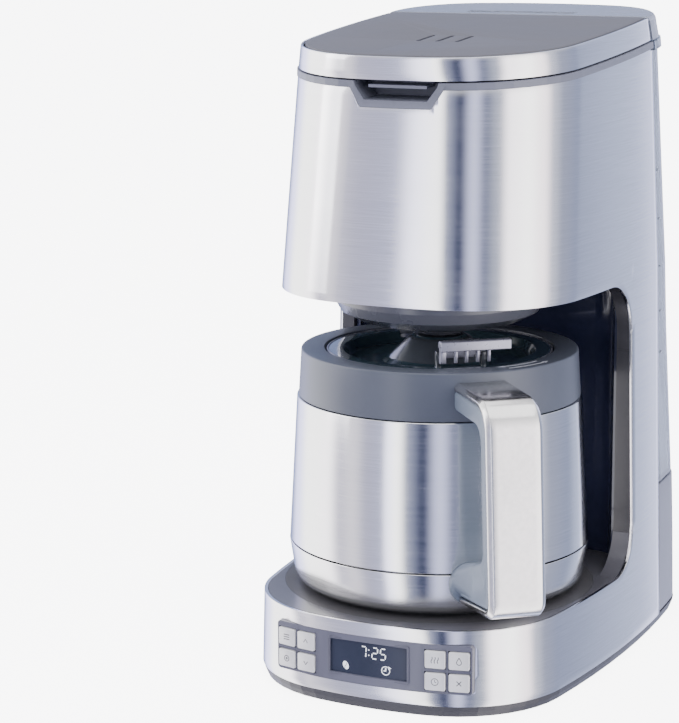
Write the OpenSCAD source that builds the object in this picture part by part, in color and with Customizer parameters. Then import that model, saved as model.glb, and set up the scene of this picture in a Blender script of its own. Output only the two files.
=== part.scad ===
// Drip coffee maker with a thermal carafe and a lift-off water tank.
// Millimetres, +Z up, front towards -Y, origin under the middle of the bounding box.

/* [Body] */
// Half of the housing's width at the table
base_half_w = 98; // [97:0.5:99]
// Height of the deck that the carafe stands on
deck_z = 49; // [48.5:0.5:50]
// Height of the brewing head's lower edge
head_z = 219.5; // [218:0.5:221]
// Height of the joint under the lid, at the front
joint_z = 336.2; // [335.6:0.2:337]
// Slope of the lid joint, rising to the rear, in degrees
joint_slope = 4.15; // [4:0.05:4.4]
// Thickness of the stainless wrap
wrap_t = 2; // [1.6:0.2:2.2]
// Front edge of the column beside the carafe
column_y = 16; // [14:0.5:17]
// Rear edge of the stainless wrap, where the tank starts
seam_y = 66.4; // [66:0.2:66.8]

/* [Carafe] */
// Distance of the carafe's axis from the origin, along Y
carafe_y = -48; // [-49:0.5:-47]
// Largest radius of the carafe
carafe_r = 85.8; // [84:0.2:86]
// Height of the carafe's rim
carafe_top = 185; // [184:0.5:186]
// Direction of the handle, from the front towards +X, in degrees
handle_angle = 40; // [35:0.5:50]
// Width of the handle
handle_w = 31; // [28:0.5:34]

/* [Controls] */
// Width of a button cap
button_w = 11.4; // [10.6:0.2:11.6]
// Height of a button cap
button_h = 9.9; // [9:0.1:10]
// Half of the display's width
display_half_w = 23.3; // [20:0.1:24]

/* [Hidden] */
$fn = 64;

gap = 0.1;
far = 400;

// The drawing's origin is under the middle of the base; the part's is under the middle of the whole box.
origin_x = -3.04;
origin_y = 9.56;
module placed() { translate([origin_x, origin_y, 0]) children(); }

// Plan of the housing: a wide front arc, round corners, slightly bowed sides and a round rear.
front_r = 227;
corner_r = 66;
side_r = 800;
rear_corner_r = 48;
rear_r = 230;
widest_y = 24;
half_w_at = [[0, base_half_w], [deck_z, base_half_w - 1.6], [head_z, base_half_w - 5.8],
    [345, base_half_w - 12], [380, base_half_w - 13.4]];
front_at = [[0, -146.5], [deck_z, -146.5], [head_z, -123.2], [339, -109.2], [380, -105]];
rear_at = [[0, 148.8], [90, 144], [180, 132.5], [265, 127.5], [380, 121.5]];
tank_y = 67.4;
tank_bottom = 88;

function meet(a, ra, b, rb, side) =
    let (d = norm(b - a), h = (ra * ra - rb * rb + d * d) / (2 * d), u = (b - a) / d)
    a + h * u + side * sqrt(ra * ra - h * h) * [-u[1], u[0]];
function heading(from, to) = atan2(to[1] - from[1], to[0] - from[0]);
function along(a0, a1, t) = a0 + (a1 - a0) * t;
function arc_points(c, r, a0, a1, n) =
    [for (i = [0:n - 1]) c + r * [cos(along(a0, a1, i / n)), sin(along(a0, a1, i / n))]];
function half_plan(hw, yf, yr, inset) =
    let (f = [0, yf + front_r], s = [hw - side_r, widest_y], r = [0, yr - rear_r],
        fc = meet(f, front_r - corner_r, s, side_r - corner_r, 1),
        rc = meet(r, rear_r - rear_corner_r, s, side_r - rear_corner_r, -1),
        af = heading(f, fc), as = heading(s, fc), at = heading(s, rc), ar = heading(r, rc))
    concat(arc_points(f, front_r - inset, -90, af, 6), arc_points(fc, corner_r - inset, af, as, 9),
        arc_points(s, side_r - inset, as, at, 8), arc_points(rc, rear_corner_r - inset, at, ar, 7),
        arc_points(r, rear_r - inset, ar, 90, 4), [r + [0, rear_r - inset]]);
function plan(hw, yf, yr, inset) =
    let (h = half_plan(hw, yf, yr, inset), n = len(h))
    concat(h, [for (i = [n - 2:-1:1]) [-h[i][0], h[i][1]]]);
function level(z, inset) = [z, plan(lookup(z, half_w_at), lookup(z, front_at), lookup(z, rear_at), inset)];

// Solid through a stack of plans, each given as [height, points].
module loft(levels) {
    n = len(levels[0][1]);
    m = len(levels);
    points = [for (l = levels) for (p = l[1]) [p[0], p[1], l[0]]];
    sides = [for (j = [0:m - 2]) for (i = [0:n - 1])
        let (a = j * n + i, b = j * n + (i + 1) % n) each [[a, a + n, b], [b, a + n, b + n]]];
    low_end = [for (i = [0:n - 1]) i];
    high_end = [for (i = [n - 1:-1:0]) (m - 1) * n + i];
    polyhedron(points, concat([low_end, high_end], sides));
}
module body_loft(z0, z1, inset) {
    between = [for (z = [deck_z, 90, 180, head_z, 265, 345]) if (z > z0 + 0.5 && z < z1 - 0.5) z];
    stops = concat([z0], between, [z1]);
    loft([for (z = stops) level(z, inset)]);
}
module in_front_of(y) { translate([-far, y - 2 * far, -far]) cube([2 * far, 2 * far, 3 * far]); }
module behind(y) { translate([-far, y, -far]) cube([2 * far, 2 * far, 3 * far]); }
module slab(z0, z1) { translate([-far, -far, z0]) cube([2 * far, 2 * far, z1 - z0]); }

// Frame of the lid joint: flat parts are drawn level and tilted with it.
joint_y = -109;
rim_low = -1.3;
rim_high = 2.4;
module joint_frame() {
    translate([0, joint_y, joint_z]) rotate([joint_slope, 0, 0]) translate([0, -joint_y, 0]) children();
}
module joint_loft(stops) {
    loft([for (s = stops) [s[0], plan(s[1], s[2], s[3], s[4])]]);
}

// Side profile of the carafe bay, drawn in Y and Z; grow moves its outline into the housing.
bay_top_r = 32;
bay_low_r = 28;
module bay_profile(grow) {
    back = column_y + grow;
    translate([-far, deck_z - grow]) square([far + column_y - bay_top_r, head_z - deck_z + 2 * grow]);
    translate([column_y - bay_top_r - 1, deck_z - grow])
        square([bay_top_r - bay_low_r + 1, head_z - bay_top_r - deck_z + grow]);
    translate([column_y - bay_top_r - 1, deck_z + bay_low_r])
        square([back - column_y + bay_top_r + 1, head_z - bay_top_r - deck_z - bay_low_r]);
    translate([column_y - bay_top_r, head_z - bay_top_r]) circle(bay_top_r + grow);
    translate([column_y - bay_low_r, deck_z + bay_low_r]) circle(bay_low_r + grow);
}
module across(w) { rotate([90, 0, 90]) linear_extrude(w, center = true) children(); }
module along_y(y0, y1) { translate([0, y1, 0]) rotate([90, 0, 0]) linear_extrude(y1 - y0) children(); }

// Rectangle with round corners made of true arcs, from a corner.
module round_rect(x, y, r) {
    translate([r, 0]) square([x - 2 * r, y]);
    translate([0, r]) square([x, y - 2 * r]);
    for (cx = [r, x - r], cy = [r, y - r]) translate([cx, cy]) circle(r);
}

// Finger notch in the front of the rim, as a trapezium in X and Z.
notch_top_w = 28;
notch_low_w = 21.2;
notch_depth = 11.4;
module notch(inset) {
    low = notch_low_w - inset * 0.7;
    top = notch_top_w - inset;
    polygon([[-top - 2, 6], [-top, 0], [-low, inset - notch_depth], [low, inset - notch_depth],
        [top, 0], [top + 2, 6]]);
}

// Control panel, on the front arc of the base.
panel_half_w = 58.5;
panel_low = 14;
panel_high = 41.6;
panel_arc_y = -146.5 + front_r;
module on_arc(angle) { translate([0, panel_arc_y, 0]) rotate([0, 0, angle]) children(); }
module arc_band(r0, r1, half_w, z0, z1) {
    a = asin(half_w / front_r);
    translate([0, panel_arc_y, z0]) rotate([0, 0, -90 - a]) rotate_extrude(angle = 2 * a, $fn = 256)
        translate([r0, 0]) square([r1 - r0, z1 - z0]);
}

module stainless_wrap() color("gainsboro") placed() difference() {
    intersection() {
        difference() {
            body_loft(6.6, 375, 0);
            body_loft(4, 378, wrap_t);
        }
        in_front_of(seam_y);
    }
    joint_frame() slab(rim_low - gap, 80);
    across(2 * far) bay_profile(0);
    joint_frame() along_y(-far, -60) notch(0);
    translate([-panel_half_w, -120, panel_low]) rotate([90, 0, 0]) linear_extrude(60)
        round_rect(2 * panel_half_w, panel_high - panel_low, 2);
}

// Liner of the carafe bay: a bent sheet on both sides of a recess that clears the carafe.
liner_t = 3.5;
recess_half_w = 81;
recess_back = 42;
module recess_plan(grow) {
    translate([-recess_half_w - grow, -20]) square([2 * (recess_half_w + grow), recess_back + grow]);
    translate([-recess_half_w + 20, -20]) square([2 * (recess_half_w - 20), recess_back + 20 + grow]);
    for (s = [-1, 1]) translate([s * (recess_half_w - 20), recess_back - 20]) circle(20 + grow);
}
module bay_liner() {
    intersection() {
        difference() {
            across(2 * far) bay_profile(liner_t);
            across(2 * far) bay_profile(0);
            translate([0, 0, deck_z]) linear_extrude(head_z - deck_z) recess_plan(2.6);
        }
        body_loft(20, 300, wrap_t + gap);
        in_front_of(60);
    }
}
liner_low = 70;
liner_high = 178;
pad_r = 88.6;
pad_t = 1.5;
module base_deck() color("#57585c") placed() difference() {
    union() {
        intersection() { bay_liner(); slab(20, liner_low - gap); }
        translate([0, 0, deck_z - liner_t]) linear_extrude(liner_t) intersection() {
            recess_plan(2.6);
            translate([-far, -15]) square([2 * far, 100]);
        }
    }
    translate([0, carafe_y, deck_z - pad_t]) cylinder(r = pad_r + gap, h = 9);
    for (x = [-30, 30]) translate([x, carafe_y - 74, 0]) cylinder(r = 1.2, h = 47.2);
}
module column_liner() color("#4c4d52") placed() intersection() { bay_liner(); slab(liner_low, liner_high); }
module upper_liner() color("#4c4d52") placed() difference() {
    union() {
        intersection() { bay_liner(); slab(liner_high + gap, 260); }
        translate([0, 0, head_z]) linear_extrude(liner_t) intersection() {
            recess_plan(2.6);
            translate([-far, -17]) square([2 * far, 100]);
        }
    }
    translate([0, carafe_y, 200]) cylinder(r = 60.2, h = 50);
}
module bay_back_panel() color("#1d2136") placed() translate([0, 0, deck_z + gap])
    linear_extrude(head_z - deck_z - 2 * gap) difference() {
        intersection() {
            recess_plan(2.5);
            translate([-far, column_y + liner_t + gap]) square([2 * far, 100]);
        }
        recess_plan(0);
    }
module carafe_pad() color("#3a3a3e") placed() translate([0, carafe_y, deck_z - pad_t])
    cylinder(r = pad_r, h = pad_t);

// Underside. Each foot sits in a recess of the pan, each screw head in a counterbore.
pan_low = 0.5;
foot_r = 8;
foot_h = 1.9;
foot_spots = [[-72, -96], [72, -96], [-72, 112], [72, 112]];
screw_spots = [[-50, -118], [50, -118], [-84, 20], [84, 20], [-40, 132], [40, 132]];
head_low = 0.7;
head_high = 2.3;
module at_each(spots, z) { for (p = spots) translate([p[0], p[1], z]) children(); }
module base_pan() color("#55565a") placed() difference() {
    loft([[pan_low, plan(base_half_w - 2.4, -145, 146.6, 0)],
        [3.6, plan(base_half_w - 1.2, -145.8, 147.8, 0)], [6.4, plan(base_half_w - 0.6, -146.1, 148.3, 0)]]);
    loft([[3.2, plan(base_half_w - 7, -140.5, 142.4, 0)], [8, plan(base_half_w - 6, -139.8, 143.2, 0)]]);
    at_each(foot_spots, 0) cylinder(r = foot_r + gap, h = foot_h + gap);
    at_each(screw_spots, 0) cylinder(r = 3.7, h = head_high + gap);
    at_each(screw_spots, 0) cylinder(r = 1.9, h = 9);
}
module rubber_feet() color("#2b2b2d") placed() at_each(foot_spots, 0) cylinder(r = foot_r, h = foot_h);
module base_screws() color("silver") placed() at_each(screw_spots, head_low) difference() {
    union() {
        cylinder(r = 3.5, h = head_high - head_low);
        cylinder(r = 1.7, h = 12.5);
    }
    translate([-0.5, -2.6, -1]) cube([1, 5.2, 1.8]);
    translate([-2.6, -0.5, -1]) cube([5.2, 1, 1.8]);
}

// Rear of the base, with the shelf that the tank stands on.
shelf_z = 86.6;
socket_x = 30;
socket_y = 104;
gland_x = -52;
gland_z = 26;
module rear_housing() color("#8d8f9d") placed() difference() {
    intersection() {
        body_loft(6.6, shelf_z, 0);
        behind(tank_y);
    }
    intersection() {
        body_loft(4, shelf_z - 2.5, 2.5);
        behind(tank_y - 5);
    }
    translate([socket_x, socket_y, 70]) cylinder(r = 14.1, h = 30);
    translate([gland_x, 120, gland_z]) rotate([-90, 0, 0]) cylinder(r = 7.1, h = 40);
}
gland_face = 143.9;
module cord_gland() color("#2f3034") placed() difference() {
    translate([gland_x, gland_face, gland_z]) rotate([90, 0, 0]) union() {
        translate([0, 0, -1.6]) cylinder(r = 9.4, h = 1.6);
        cylinder(r = 7, h = 12);
    }
    translate([gland_x, gland_face + 5, gland_z]) rotate([90, 0, 0]) cylinder(r = 3.6, h = 30);
}
module spine_panel() color("#5c5e68") placed() difference() {
    intersection() {
        body_loft(shelf_z + 0.4, 360, wrap_t + gap);
        translate([-far, 62.4, 0]) cube([2 * far, 2.6, far]);
    }
    joint_frame() slab(-2.9, 80);
}
module tank_socket() color("#4c4d52") placed() translate([socket_x, socket_y, 0]) difference() {
    union() {
        translate([0, 0, 72]) cylinder(r = 14, h = shelf_z - 72);
        translate([0, 0, 58]) cylinder(r = 5, h = 15);
    }
    translate([0, 0, 76]) cylinder(r = 11, h = 20);
    translate([0, 0, 50]) cylinder(r = 3.2, h = 40);
}
module socket_seal() color("#b4553c") placed() translate([socket_x, socket_y, 76]) difference() {
    cylinder(r = 10.9, h = 1.8);
    translate([0, 0, -1]) cylinder(r = 8.2, h = 5);
}

// Grey rim around the top of the head, with the finger notch and its pocket.
module top_rim() color("#6f7179") placed() joint_frame() difference() {
    union() {
        intersection() {
            difference() {
                joint_loft([[rim_low, 86.9, -110, 125, 0], [rim_high, 86.6, -110, 125, 0]]);
                joint_loft([[rim_low - 1, 86.9, -110, 125, 5.5], [4, 86.6, -110, 125, 5.5]]);
            }
            in_front_of(seam_y - 0.2);
        }
        intersection() {
            joint_loft([[-14, 87.6, -111.5, 125, 0], [rim_high, 86.6, -110, 125, 0]]);
            along_y(-130, -88) notch(gap);
        }
    }
    along_y(-130, -91) notch(4);
}

module control_bezel() color("#80828e") placed() difference() {
    translate([gap - panel_half_w, -120, panel_low + gap]) rotate([90, 0, 0]) linear_extrude(60)
        round_rect(2 * (panel_half_w - gap), panel_high - panel_low - 2 * gap, 1.9);
    translate([0, panel_arc_y, 0]) cylinder(r = front_r - 4, h = 60, $fn = 256);
    difference() {
        translate([0, panel_arc_y, 0]) cylinder(r = front_r + 60, h = 60, $fn = 256);
        translate([0, panel_arc_y, -1]) cylinder(r = front_r - 0.3, h = 62, $fn = 256);
    }
    for (b = button_spots) on_arc(b[0]) translate([0, -front_r + 1, b[1]])
        cube([button_w + 0.8, 12, button_h + 0.8], center = true);
    translate([-display_half_w - gap, -152, display_low - gap])
        cube([2 * (display_half_w + gap), 12, display_high - display_low + 2 * gap]);
}
display_low = 18.6;
display_high = 38;
module display_window() color("#2b3046") placed() intersection() {
    arc_band(front_r - 3.2, front_r - 1.1, 40, 0, 60);
    translate([-display_half_w, -160, display_low])
        cube([2 * display_half_w, 30, display_high - display_low]);
}
module display_module() color("#6b7a6e") placed() translate([-21, -139.4, display_low + 0.8])
    cube([42, 5, display_high - display_low - 1.6]);
module control_board() color("#2f6b3c") placed() difference() {
    translate([-56, -131.6, 9]) cube([112, 1.6, 34]);
    for (x = [-52, 52], z = [12.2, 40]) translate([x, -140, z]) rotate([-90, 0, 0])
        cylinder(r = 1.6, h = 20);
}

// Buttons: [angle on the front arc, height of the middle]; each moves in along its own radius.
top_row = 33.1;
low_row = 20.7;
outer_angle = asin(51.6 / front_r);
inner_angle = asin(38.6 / front_r);
button_spots = [[-outer_angle, top_row], [-inner_angle, top_row], [-outer_angle, low_row],
    [-inner_angle, low_row], [inner_angle, top_row], [outer_angle, top_row], [inner_angle, low_row],
    [outer_angle, low_row]];
module button(i) color("#dcdcd8") placed() on_arc(button_spots[i][0]) translate([0, 0, button_spots[i][1]]) {
    translate([-button_w / 2, -front_r - 0.7, 0]) rotate([-90, 0, 0]) translate([0, -button_h / 2, 0])
        linear_extrude(3.2) round_rect(button_w, button_h, 0.9);
    translate([-2.5, -front_r + 2.5, -2.5]) cube([5, 3, 5]);
}

// Electrics and water path in the base and column.
heater_x = 30;
heater_y = -34;
heater_z = 28;
module power_board() color("#2f6b3c") placed() translate([-84, 76, 12]) {
    cube([50, 44, 1.6]);
    translate([6, 6, 1.6]) cube([16, 12, 14]);
    translate([30, 8, 1.6]) cylinder(r = 6, h = 18);
    translate([8, 26, 1.6]) cube([28, 10, 9]);
}
module heater_leg(x, r) {
    translate([x, heater_y, heater_z]) rotate([-90, 0, 0]) cylinder(r = r, h = 34);
}
module flow_heater() color("#c9c9c4") placed() difference() {
    union() {
        for (x = [-heater_x, heater_x]) {
            heater_leg(x, 8);
            translate([x, heater_y + 34, heater_z]) rotate([-90, 0, 0]) cylinder(r = 5, h = 14);
        }
        translate([0, heater_y, heater_z]) rotate([0, 0, 180]) rotate_extrude(angle = 180)
            translate([heater_x, 0]) circle(8);
    }
    for (x = [-heater_x, heater_x]) translate([x, heater_y - 1, heater_z]) rotate([-90, 0, 0])
        cylinder(r = 3.5, h = 60);
}
module heater_bracket() color("#9fa1a5") placed() difference() {
    union() {
        translate([-44, -26, 3.8]) cube([88, 12, 1.4]);
        for (s = [-1, 1]) translate([s * heater_x - 12, -26, 3.8]) cube([24, 12, 24.2]);
    }
    for (s = [-1, 1]) translate([s * heater_x, -40, heater_z]) rotate([-90, 0, 0]) cylinder(r = 8.1, h = 40);
    for (s = [-1, 1]) translate([s * heater_x - 10.6, -40, 5.2]) cube([21.2, 40, 13.4]);
}
module thermostat() color("#cfcfc8") placed() translate([0, heater_y - heater_x, heater_z + 8.1]) {
    cylinder(r = 8, h = 1.2);
    translate([0, 0, 1.2]) cylinder(r = 6.5, h = 5);
    for (s = [-1, 1]) translate([s * 3.4 - 0.4, -2, 6.2]) cube([0.8, 4, 1.6]);
}
hose_in = 5.15;
hose_out = 7;
module hose_ring(h) {
    difference() {
        cylinder(r = hose_out, h = h);
        translate([0, 0, -1]) cylinder(r = hose_in, h = h + 2);
    }
}
module hose_bend() {
    rotate_extrude(angle = 90) translate([12, 0]) difference() { circle(hose_out); circle(hose_in); }
}
inlet_y = heater_y + 36;
module inlet_hose() color("#d8d4c8") placed() {
    translate([heater_x, inlet_y, heater_z]) rotate([-90, 0, 0]) hose_ring(socket_y - inlet_y - 12);
    translate([heater_x, socket_y - 12, heater_z + 12]) rotate([0, 90, 0]) hose_bend();
    translate([heater_x, socket_y, heater_z + 12]) hose_ring(28);
}
riser_y = 53.4;
riser_top = 322;
module riser_hose() color("#d8d4c8") placed() {
    translate([-heater_x, inlet_y, heater_z]) rotate([-90, 0, 0]) hose_ring(riser_y - inlet_y - 12);
    translate([-heater_x, riser_y - 12, heater_z + 12]) rotate([0, 90, 0]) hose_bend();
    translate([-heater_x, riser_y, heater_z + 12]) hose_ring(riser_top - heater_z - 12);
}
module spout_path(r, more) {
    translate([0, 0, riser_top - 12 - more]) cylinder(r = r, h = 20 + more);
    translate([0, -8, riser_top + 8]) rotate([90, 0, 90]) rotate_extrude(angle = 90)
        translate([8, 0]) circle(r);
    translate([0, -20 - more, riser_top + 16]) rotate([-90, 0, 0]) cylinder(r = r, h = 12 + more);
}
module water_spout() color("#4c4d52") placed() translate([-heater_x, riser_y, 0]) difference() {
    union() {
        spout_path(5, 0);
        translate([0, 0, riser_top + 0.2]) cylinder(r = 7, h = 6);
    }
    spout_path(3.4, 2);
}

// Brewing head.
funnel_low = 196.6;
nozzle_low = 193.6;
module revolve_at_carafe() { translate([0, carafe_y, 0]) rotate_extrude($fn = 128) children(); }
module drip_funnel() color("#62646b") placed() revolve_at_carafe() difference() {
    polygon([[5.2, nozzle_low], [13.2, nozzle_low], [14.6, nozzle_low + 1.4], [15, funnel_low], [30, 198.4],
        [46, 202], [56, 207], [59.4, 213], [60, 219], [60, 223.2], [64, 223.2], [64, 225.4], [60.4, 225.4],
        [62, 300], [4, 300], [4, 214]]);
    polygon([[8.4, 200.5], [30, 201], [45, 204.4], [54.6, 209.2], [57.6, 214], [58, 226],
        [59, 293.4], [55, 293.4], [55, 295.4], [59.6, 295.4], [59.7, 310], [2, 310], [2, 200.5]]);
}
bail_x = 54.8;
bail_z = 301.8;
module filter_basket() color("#3e3f44") placed() difference() {
    union() {
        basket_cup();
        for (s = [-1, 1]) translate([s * bail_x - 1.5, carafe_y - 3, 298.6]) cube([3, 6, 6.4]);
    }
    for (s = [-1, 1]) translate([s * bail_x - 2, carafe_y, bail_z]) rotate([0, 90, 0])
        cylinder(r = 1.56, h = 4);
}
module basket_cup() revolve_at_carafe() difference() {
    polygon([[3, 226], [36, 226], [53, 295.8], [56.5, 295.8], [56.5, 299], [3, 299]]);
    polygon([[0, 228], [34.5, 228], [51.4, 298], [51.4, 310], [0, 310]]);
}
module mesh_filter() color("#b9a66a") placed() revolve_at_carafe() difference() {
    polygon([[0, 230.4], [32, 230.4], [48.6, 295], [50.3, 295], [50.3, 296.2], [0, 296.2]]);
    polygon([[0, 231.6], [31, 231.6], [47.6, 296], [47.6, 300], [0, 300]]);
}
module basket_handle() color("#3e3f44") placed() translate([0, carafe_y, bail_z]) {
    rotate([0, 0, 180]) rotate_extrude(angle = 180) translate([51, 0]) circle(2);
    for (s = [-1, 1]) translate([s * 51, 0, 0]) rotate([0, s * 90, 0]) cylinder(r = 1.5, h = 5.1);
}
valve_low = 193.2;
module drip_stop_valve() color("#8a8c93") placed() translate([0, carafe_y, 0]) {
    translate([0, 0, valve_low]) cylinder(r = 3.6, h = 8);
    translate([0, 0, 201.2]) cylinder(r = 7.6, h = 2);
    translate([0, 0, 203.2]) cylinder(r = 2, h = 22.6);
}
function on_circle(r, a, z) = [r * cos(a), r * sin(a), z];
module coil(r, wire, pitch, turns) {
    per_turn = 16;
    sides = 6;
    rings = per_turn * turns;
    points = [for (i = [0:rings]) for (j = [0:sides - 1])
        on_circle(r + wire * cos(60 * j), 360 * i / per_turn, pitch * i / per_turn + wire * sin(60 * j))];
    skin = [for (i = [0:rings - 1]) for (j = [0:sides - 1])
        let (a = i * sides + j, b = i * sides + (j + 1) % sides, up = sides)
        each [[a, a + up, b], [b, a + up, b + up]]];
    polyhedron(points, concat(skin, [[for (j = [0:sides - 1]) j]],
        [[for (j = [sides - 1:-1:0]) rings * sides + j]]));
}
module drip_stop_spring() color("silver") placed() translate([0, carafe_y, 203.9]) coil(3.6, 0.5, 5.2, 4);

// Lid of the head.
lid_low = 3.4;
lid_high = 15.9;
pin_y = 62.9;
pin_z = lid_high - 3;
lid_rear = 65.6;
module lid_plan(inset_low, inset_high, z0, z1) {
    joint_loft([[z0, 85.6, -109.8, 125, inset_low], [z1, 83.8, -109.4, 125, inset_high]]);
}
module lid_band() color("gainsboro") placed() joint_frame() difference() {
    intersection() {
        lid_plan(0, 0, lid_low, lid_high);
        in_front_of(lid_rear);
    }
    lid_plan(2.2, 2.2, 0, lid_high + 2);
}
slot_x = [-11.6, 0, 11.6];
module lid_panel() color("#85878d") placed() joint_frame() difference() {
    intersection() {
        joint_loft([[lid_high - 2.4, 84.2, -109.4, 125, 2.4], [lid_high - 0.3, 83.8, -109.4, 125, 2.4],
            [lid_high + 0.5, 83.8, -109.4, 125, 3.4]]);
        in_front_of(lid_rear);
    }
    for (x = slot_x) translate([x - 1.1, -52, 0]) cube([2.2, 24.5, 30]);
    translate([0, lid_rear, lid_high + 0.5]) rotate([45, 0, 0]) cube([2 * far, 1.1, 1.1], center = true);
    for (x = ear_spots) translate([x - ear_t / 2 - 0.4, pin_y - 2.9, pin_z]) cube([ear_t + 0.8, 12, 2.9]);
    translate([0, pin_y, pin_z]) rotate([0, 90, 0]) cylinder(r = 1.75, h = 200, center = true);
    for (x = knuckle_spots) translate([x - 5.1, pin_y - 4, pin_z - 1.6]) cube([10.2, 8, 4]);
}
ear_t = 4;
ear_spots = [-58, -42, 42, 58];
knuckle_spots = [-50, 50];
module lid_inner_cover() color("#74767d") placed() joint_frame() difference() {
    union() {
        intersection() {
            difference() {
                lid_plan(2.8, 2.4, lid_low + 0.2, lid_high - 2.7);
                lid_plan(4.4, 4.4, lid_low + 2.2, lid_high);
            }
            in_front_of(57);
        }
        for (x = knuckle_spots) {
            translate([x - 5, 50, 5.4]) cube([10, pin_y - 50, pin_z - 5.2]);
            translate([x - 5, pin_y, pin_z]) rotate([0, 90, 0]) cylinder(r = 2.3, h = 10);
        }
        translate([-17, -106.5, -1.2]) cube([34, 12, 1.6]);
        translate([-17, -97, -1.2]) cube([34, 2.5, 5.2]);
    }
    translate([0, pin_y, pin_z]) rotate([0, 90, 0]) cylinder(r = 1.66, h = 200, center = true);
    for (x = slot_x) translate([x - 1.1, -52, 0]) cube([2.2, 24.5, 30]);
}
module lid_hinge_pin() color("silver") placed() joint_frame() {
    for (s = [-1, 1]) translate([s * 50 - 12, pin_y, pin_z]) rotate([0, 90, 0]) cylinder(r = 1.6, h = 24);
    for (x = ear_spots) translate([x, 0, 0]) rotate([90, 0, 90]) linear_extrude(ear_t, center = true) {
        translate([pin_y, pin_z]) circle(2.4);
        translate([pin_y - 2.4, -2.8]) square([4.8, pin_z + 2.8]);
    }
}
channel_turn = 20.3;
module shower_head() color("#55575e") placed() joint_frame() difference() {
    union() {
        translate([0, carafe_y, -16]) cylinder(r = 34, h = 6);
        translate([0, carafe_y, -10]) cylinder(r = 12, h = 13.5);
        translate([0, carafe_y, -10]) rotate([0, 0, channel_turn]) translate([-9, 0, 0]) cube([18, 72, 9]);
    }
    translate([0, carafe_y, -14]) cylinder(r = 31, h = 2.4);
    for (r = [10, 20, 28]) for (i = [0:7]) translate([0, carafe_y, -20]) rotate([0, 0, i * 45 + r])
        translate([r, 0, 0]) cylinder(r = 1.2, h = 8);
    translate([0, carafe_y, -8.4]) rotate([0, 0, channel_turn]) translate([-6.6, -3, 0])
        cube([13.2, 80, 5.8]);
    translate([0, carafe_y, -13]) cylinder(r = 5, h = 8);
}

// Water tank, open at the top, with a flange that carries on the line of the rim.
module tank_solid(z0, z1, inset, y) {
    intersection() {
        body_loft(z0, z1, inset);
        behind(y);
    }
}
module water_tank() color("#8f9fb8", 0.5) placed() difference() {
    union() {
        difference() {
            tank_solid(tank_bottom, 352, 0.6, tank_y);
            joint_frame() slab(-2.8, 80);
        }
        joint_frame() intersection() {
            joint_loft([[-2.8, 87.3, -110, 125.4, 0], [2.4, 87, -110, 125, 0]]);
            behind(tank_y);
        }
        joint_frame() for (s = [-1, 1], t = [-1, 1])
            tank_knuckle(s * tank_hinge_x + t * 7.6, 4, 7.4, -2.4, 2.3);
    }
    joint_frame() translate([0, tank_pin_y, tank_pin_z]) rotate([0, 90, 0])
        cylinder(r = 1.56, h = 120, center = true);
    tank_solid(tank_bottom + 3, 380, 3.4, tank_y + 2.8);
    translate([socket_x, socket_y, 80]) cylinder(r = 6.1, h = 20);
}
tank_pin_y = 128.6;
tank_pin_z = 2.7;
tank_hinge_x = 34;
module tank_knuckle(x, w, reach, z0, z1) {
    translate([x - w / 2, tank_pin_y, tank_pin_z]) rotate([0, 90, 0]) cylinder(r = 3, h = w);
    translate([x - w / 2, tank_pin_y - reach, z0]) cube([w, reach, z1 - z0]);
}
module tank_lid() color("#8b93a6") placed() joint_frame() difference() {
    union() {
        difference() {
            intersection() {
                joint_loft([[3, 86, -109.6, 124.4, 0], [lid_high - 2, 84.4, -109.4, 123, 0],
                    [lid_high, 83.8, -109.4, 122.4, 0.6], [lid_high + 0.6, 83.8, -109.4, 122.4, 1.8]]);
                behind(tank_y);
            }
            intersection() {
                joint_loft([[0, 86, -109.6, 124.4, 2.6], [lid_high - 2, 84.4, -109.4, 123, 2.6]]);
                behind(tank_y + 2.6);
            }
        }
        for (s = [-1, 1]) tank_knuckle(s * tank_hinge_x, 10, 8.4, 3.1, 5.7);
    }
    translate([0, tank_pin_y, tank_pin_z]) rotate([0, 90, 0]) cylinder(r = 1.56, h = 120, center = true);
    translate([-34, 72, lid_high - 0.2]) cube([68, 9, 5]);
    translate([0, tank_y, lid_high + 0.6]) rotate([45, 0, 0]) cube([2 * far, 1, 1], center = true);
}
module tank_hinge_pin() color("#7f8798") placed() joint_frame() for (s = [-1, 1])
    translate([s * tank_hinge_x - 9.8, tank_pin_y, tank_pin_z]) rotate([0, 90, 0])
        cylinder(r = 1.5, h = 19.6);
module tank_valve_body() color("#c8ccd4") placed() translate([socket_x, socket_y, 0]) difference() {
    union() {
        translate([0, 0, 79]) cylinder(r = 6, h = 14);
        translate([0, 0, tank_bottom + 3.1]) cylinder(r = 9, h = 2);
        translate([0, 0, 79]) cylinder(r = 8, h = 8);
    }
    translate([0, 0, 81]) cylinder(r = 4.6, h = 20);
    translate([0, 0, 70]) cylinder(r = 3, h = 20);
}
module tank_valve_stem() color("#3e3f44") placed() translate([socket_x, socket_y, 0]) {
    translate([0, 0, 77.8]) cylinder(r = 1.2, h = 9);
    translate([0, 0, 81.1]) cylinder(r = 4.2, h = 1.4);
}
module tank_valve_spring() color("silver") placed() translate([socket_x, socket_y, 83.4]) coil(3, 0.4, 2, 4);

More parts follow.
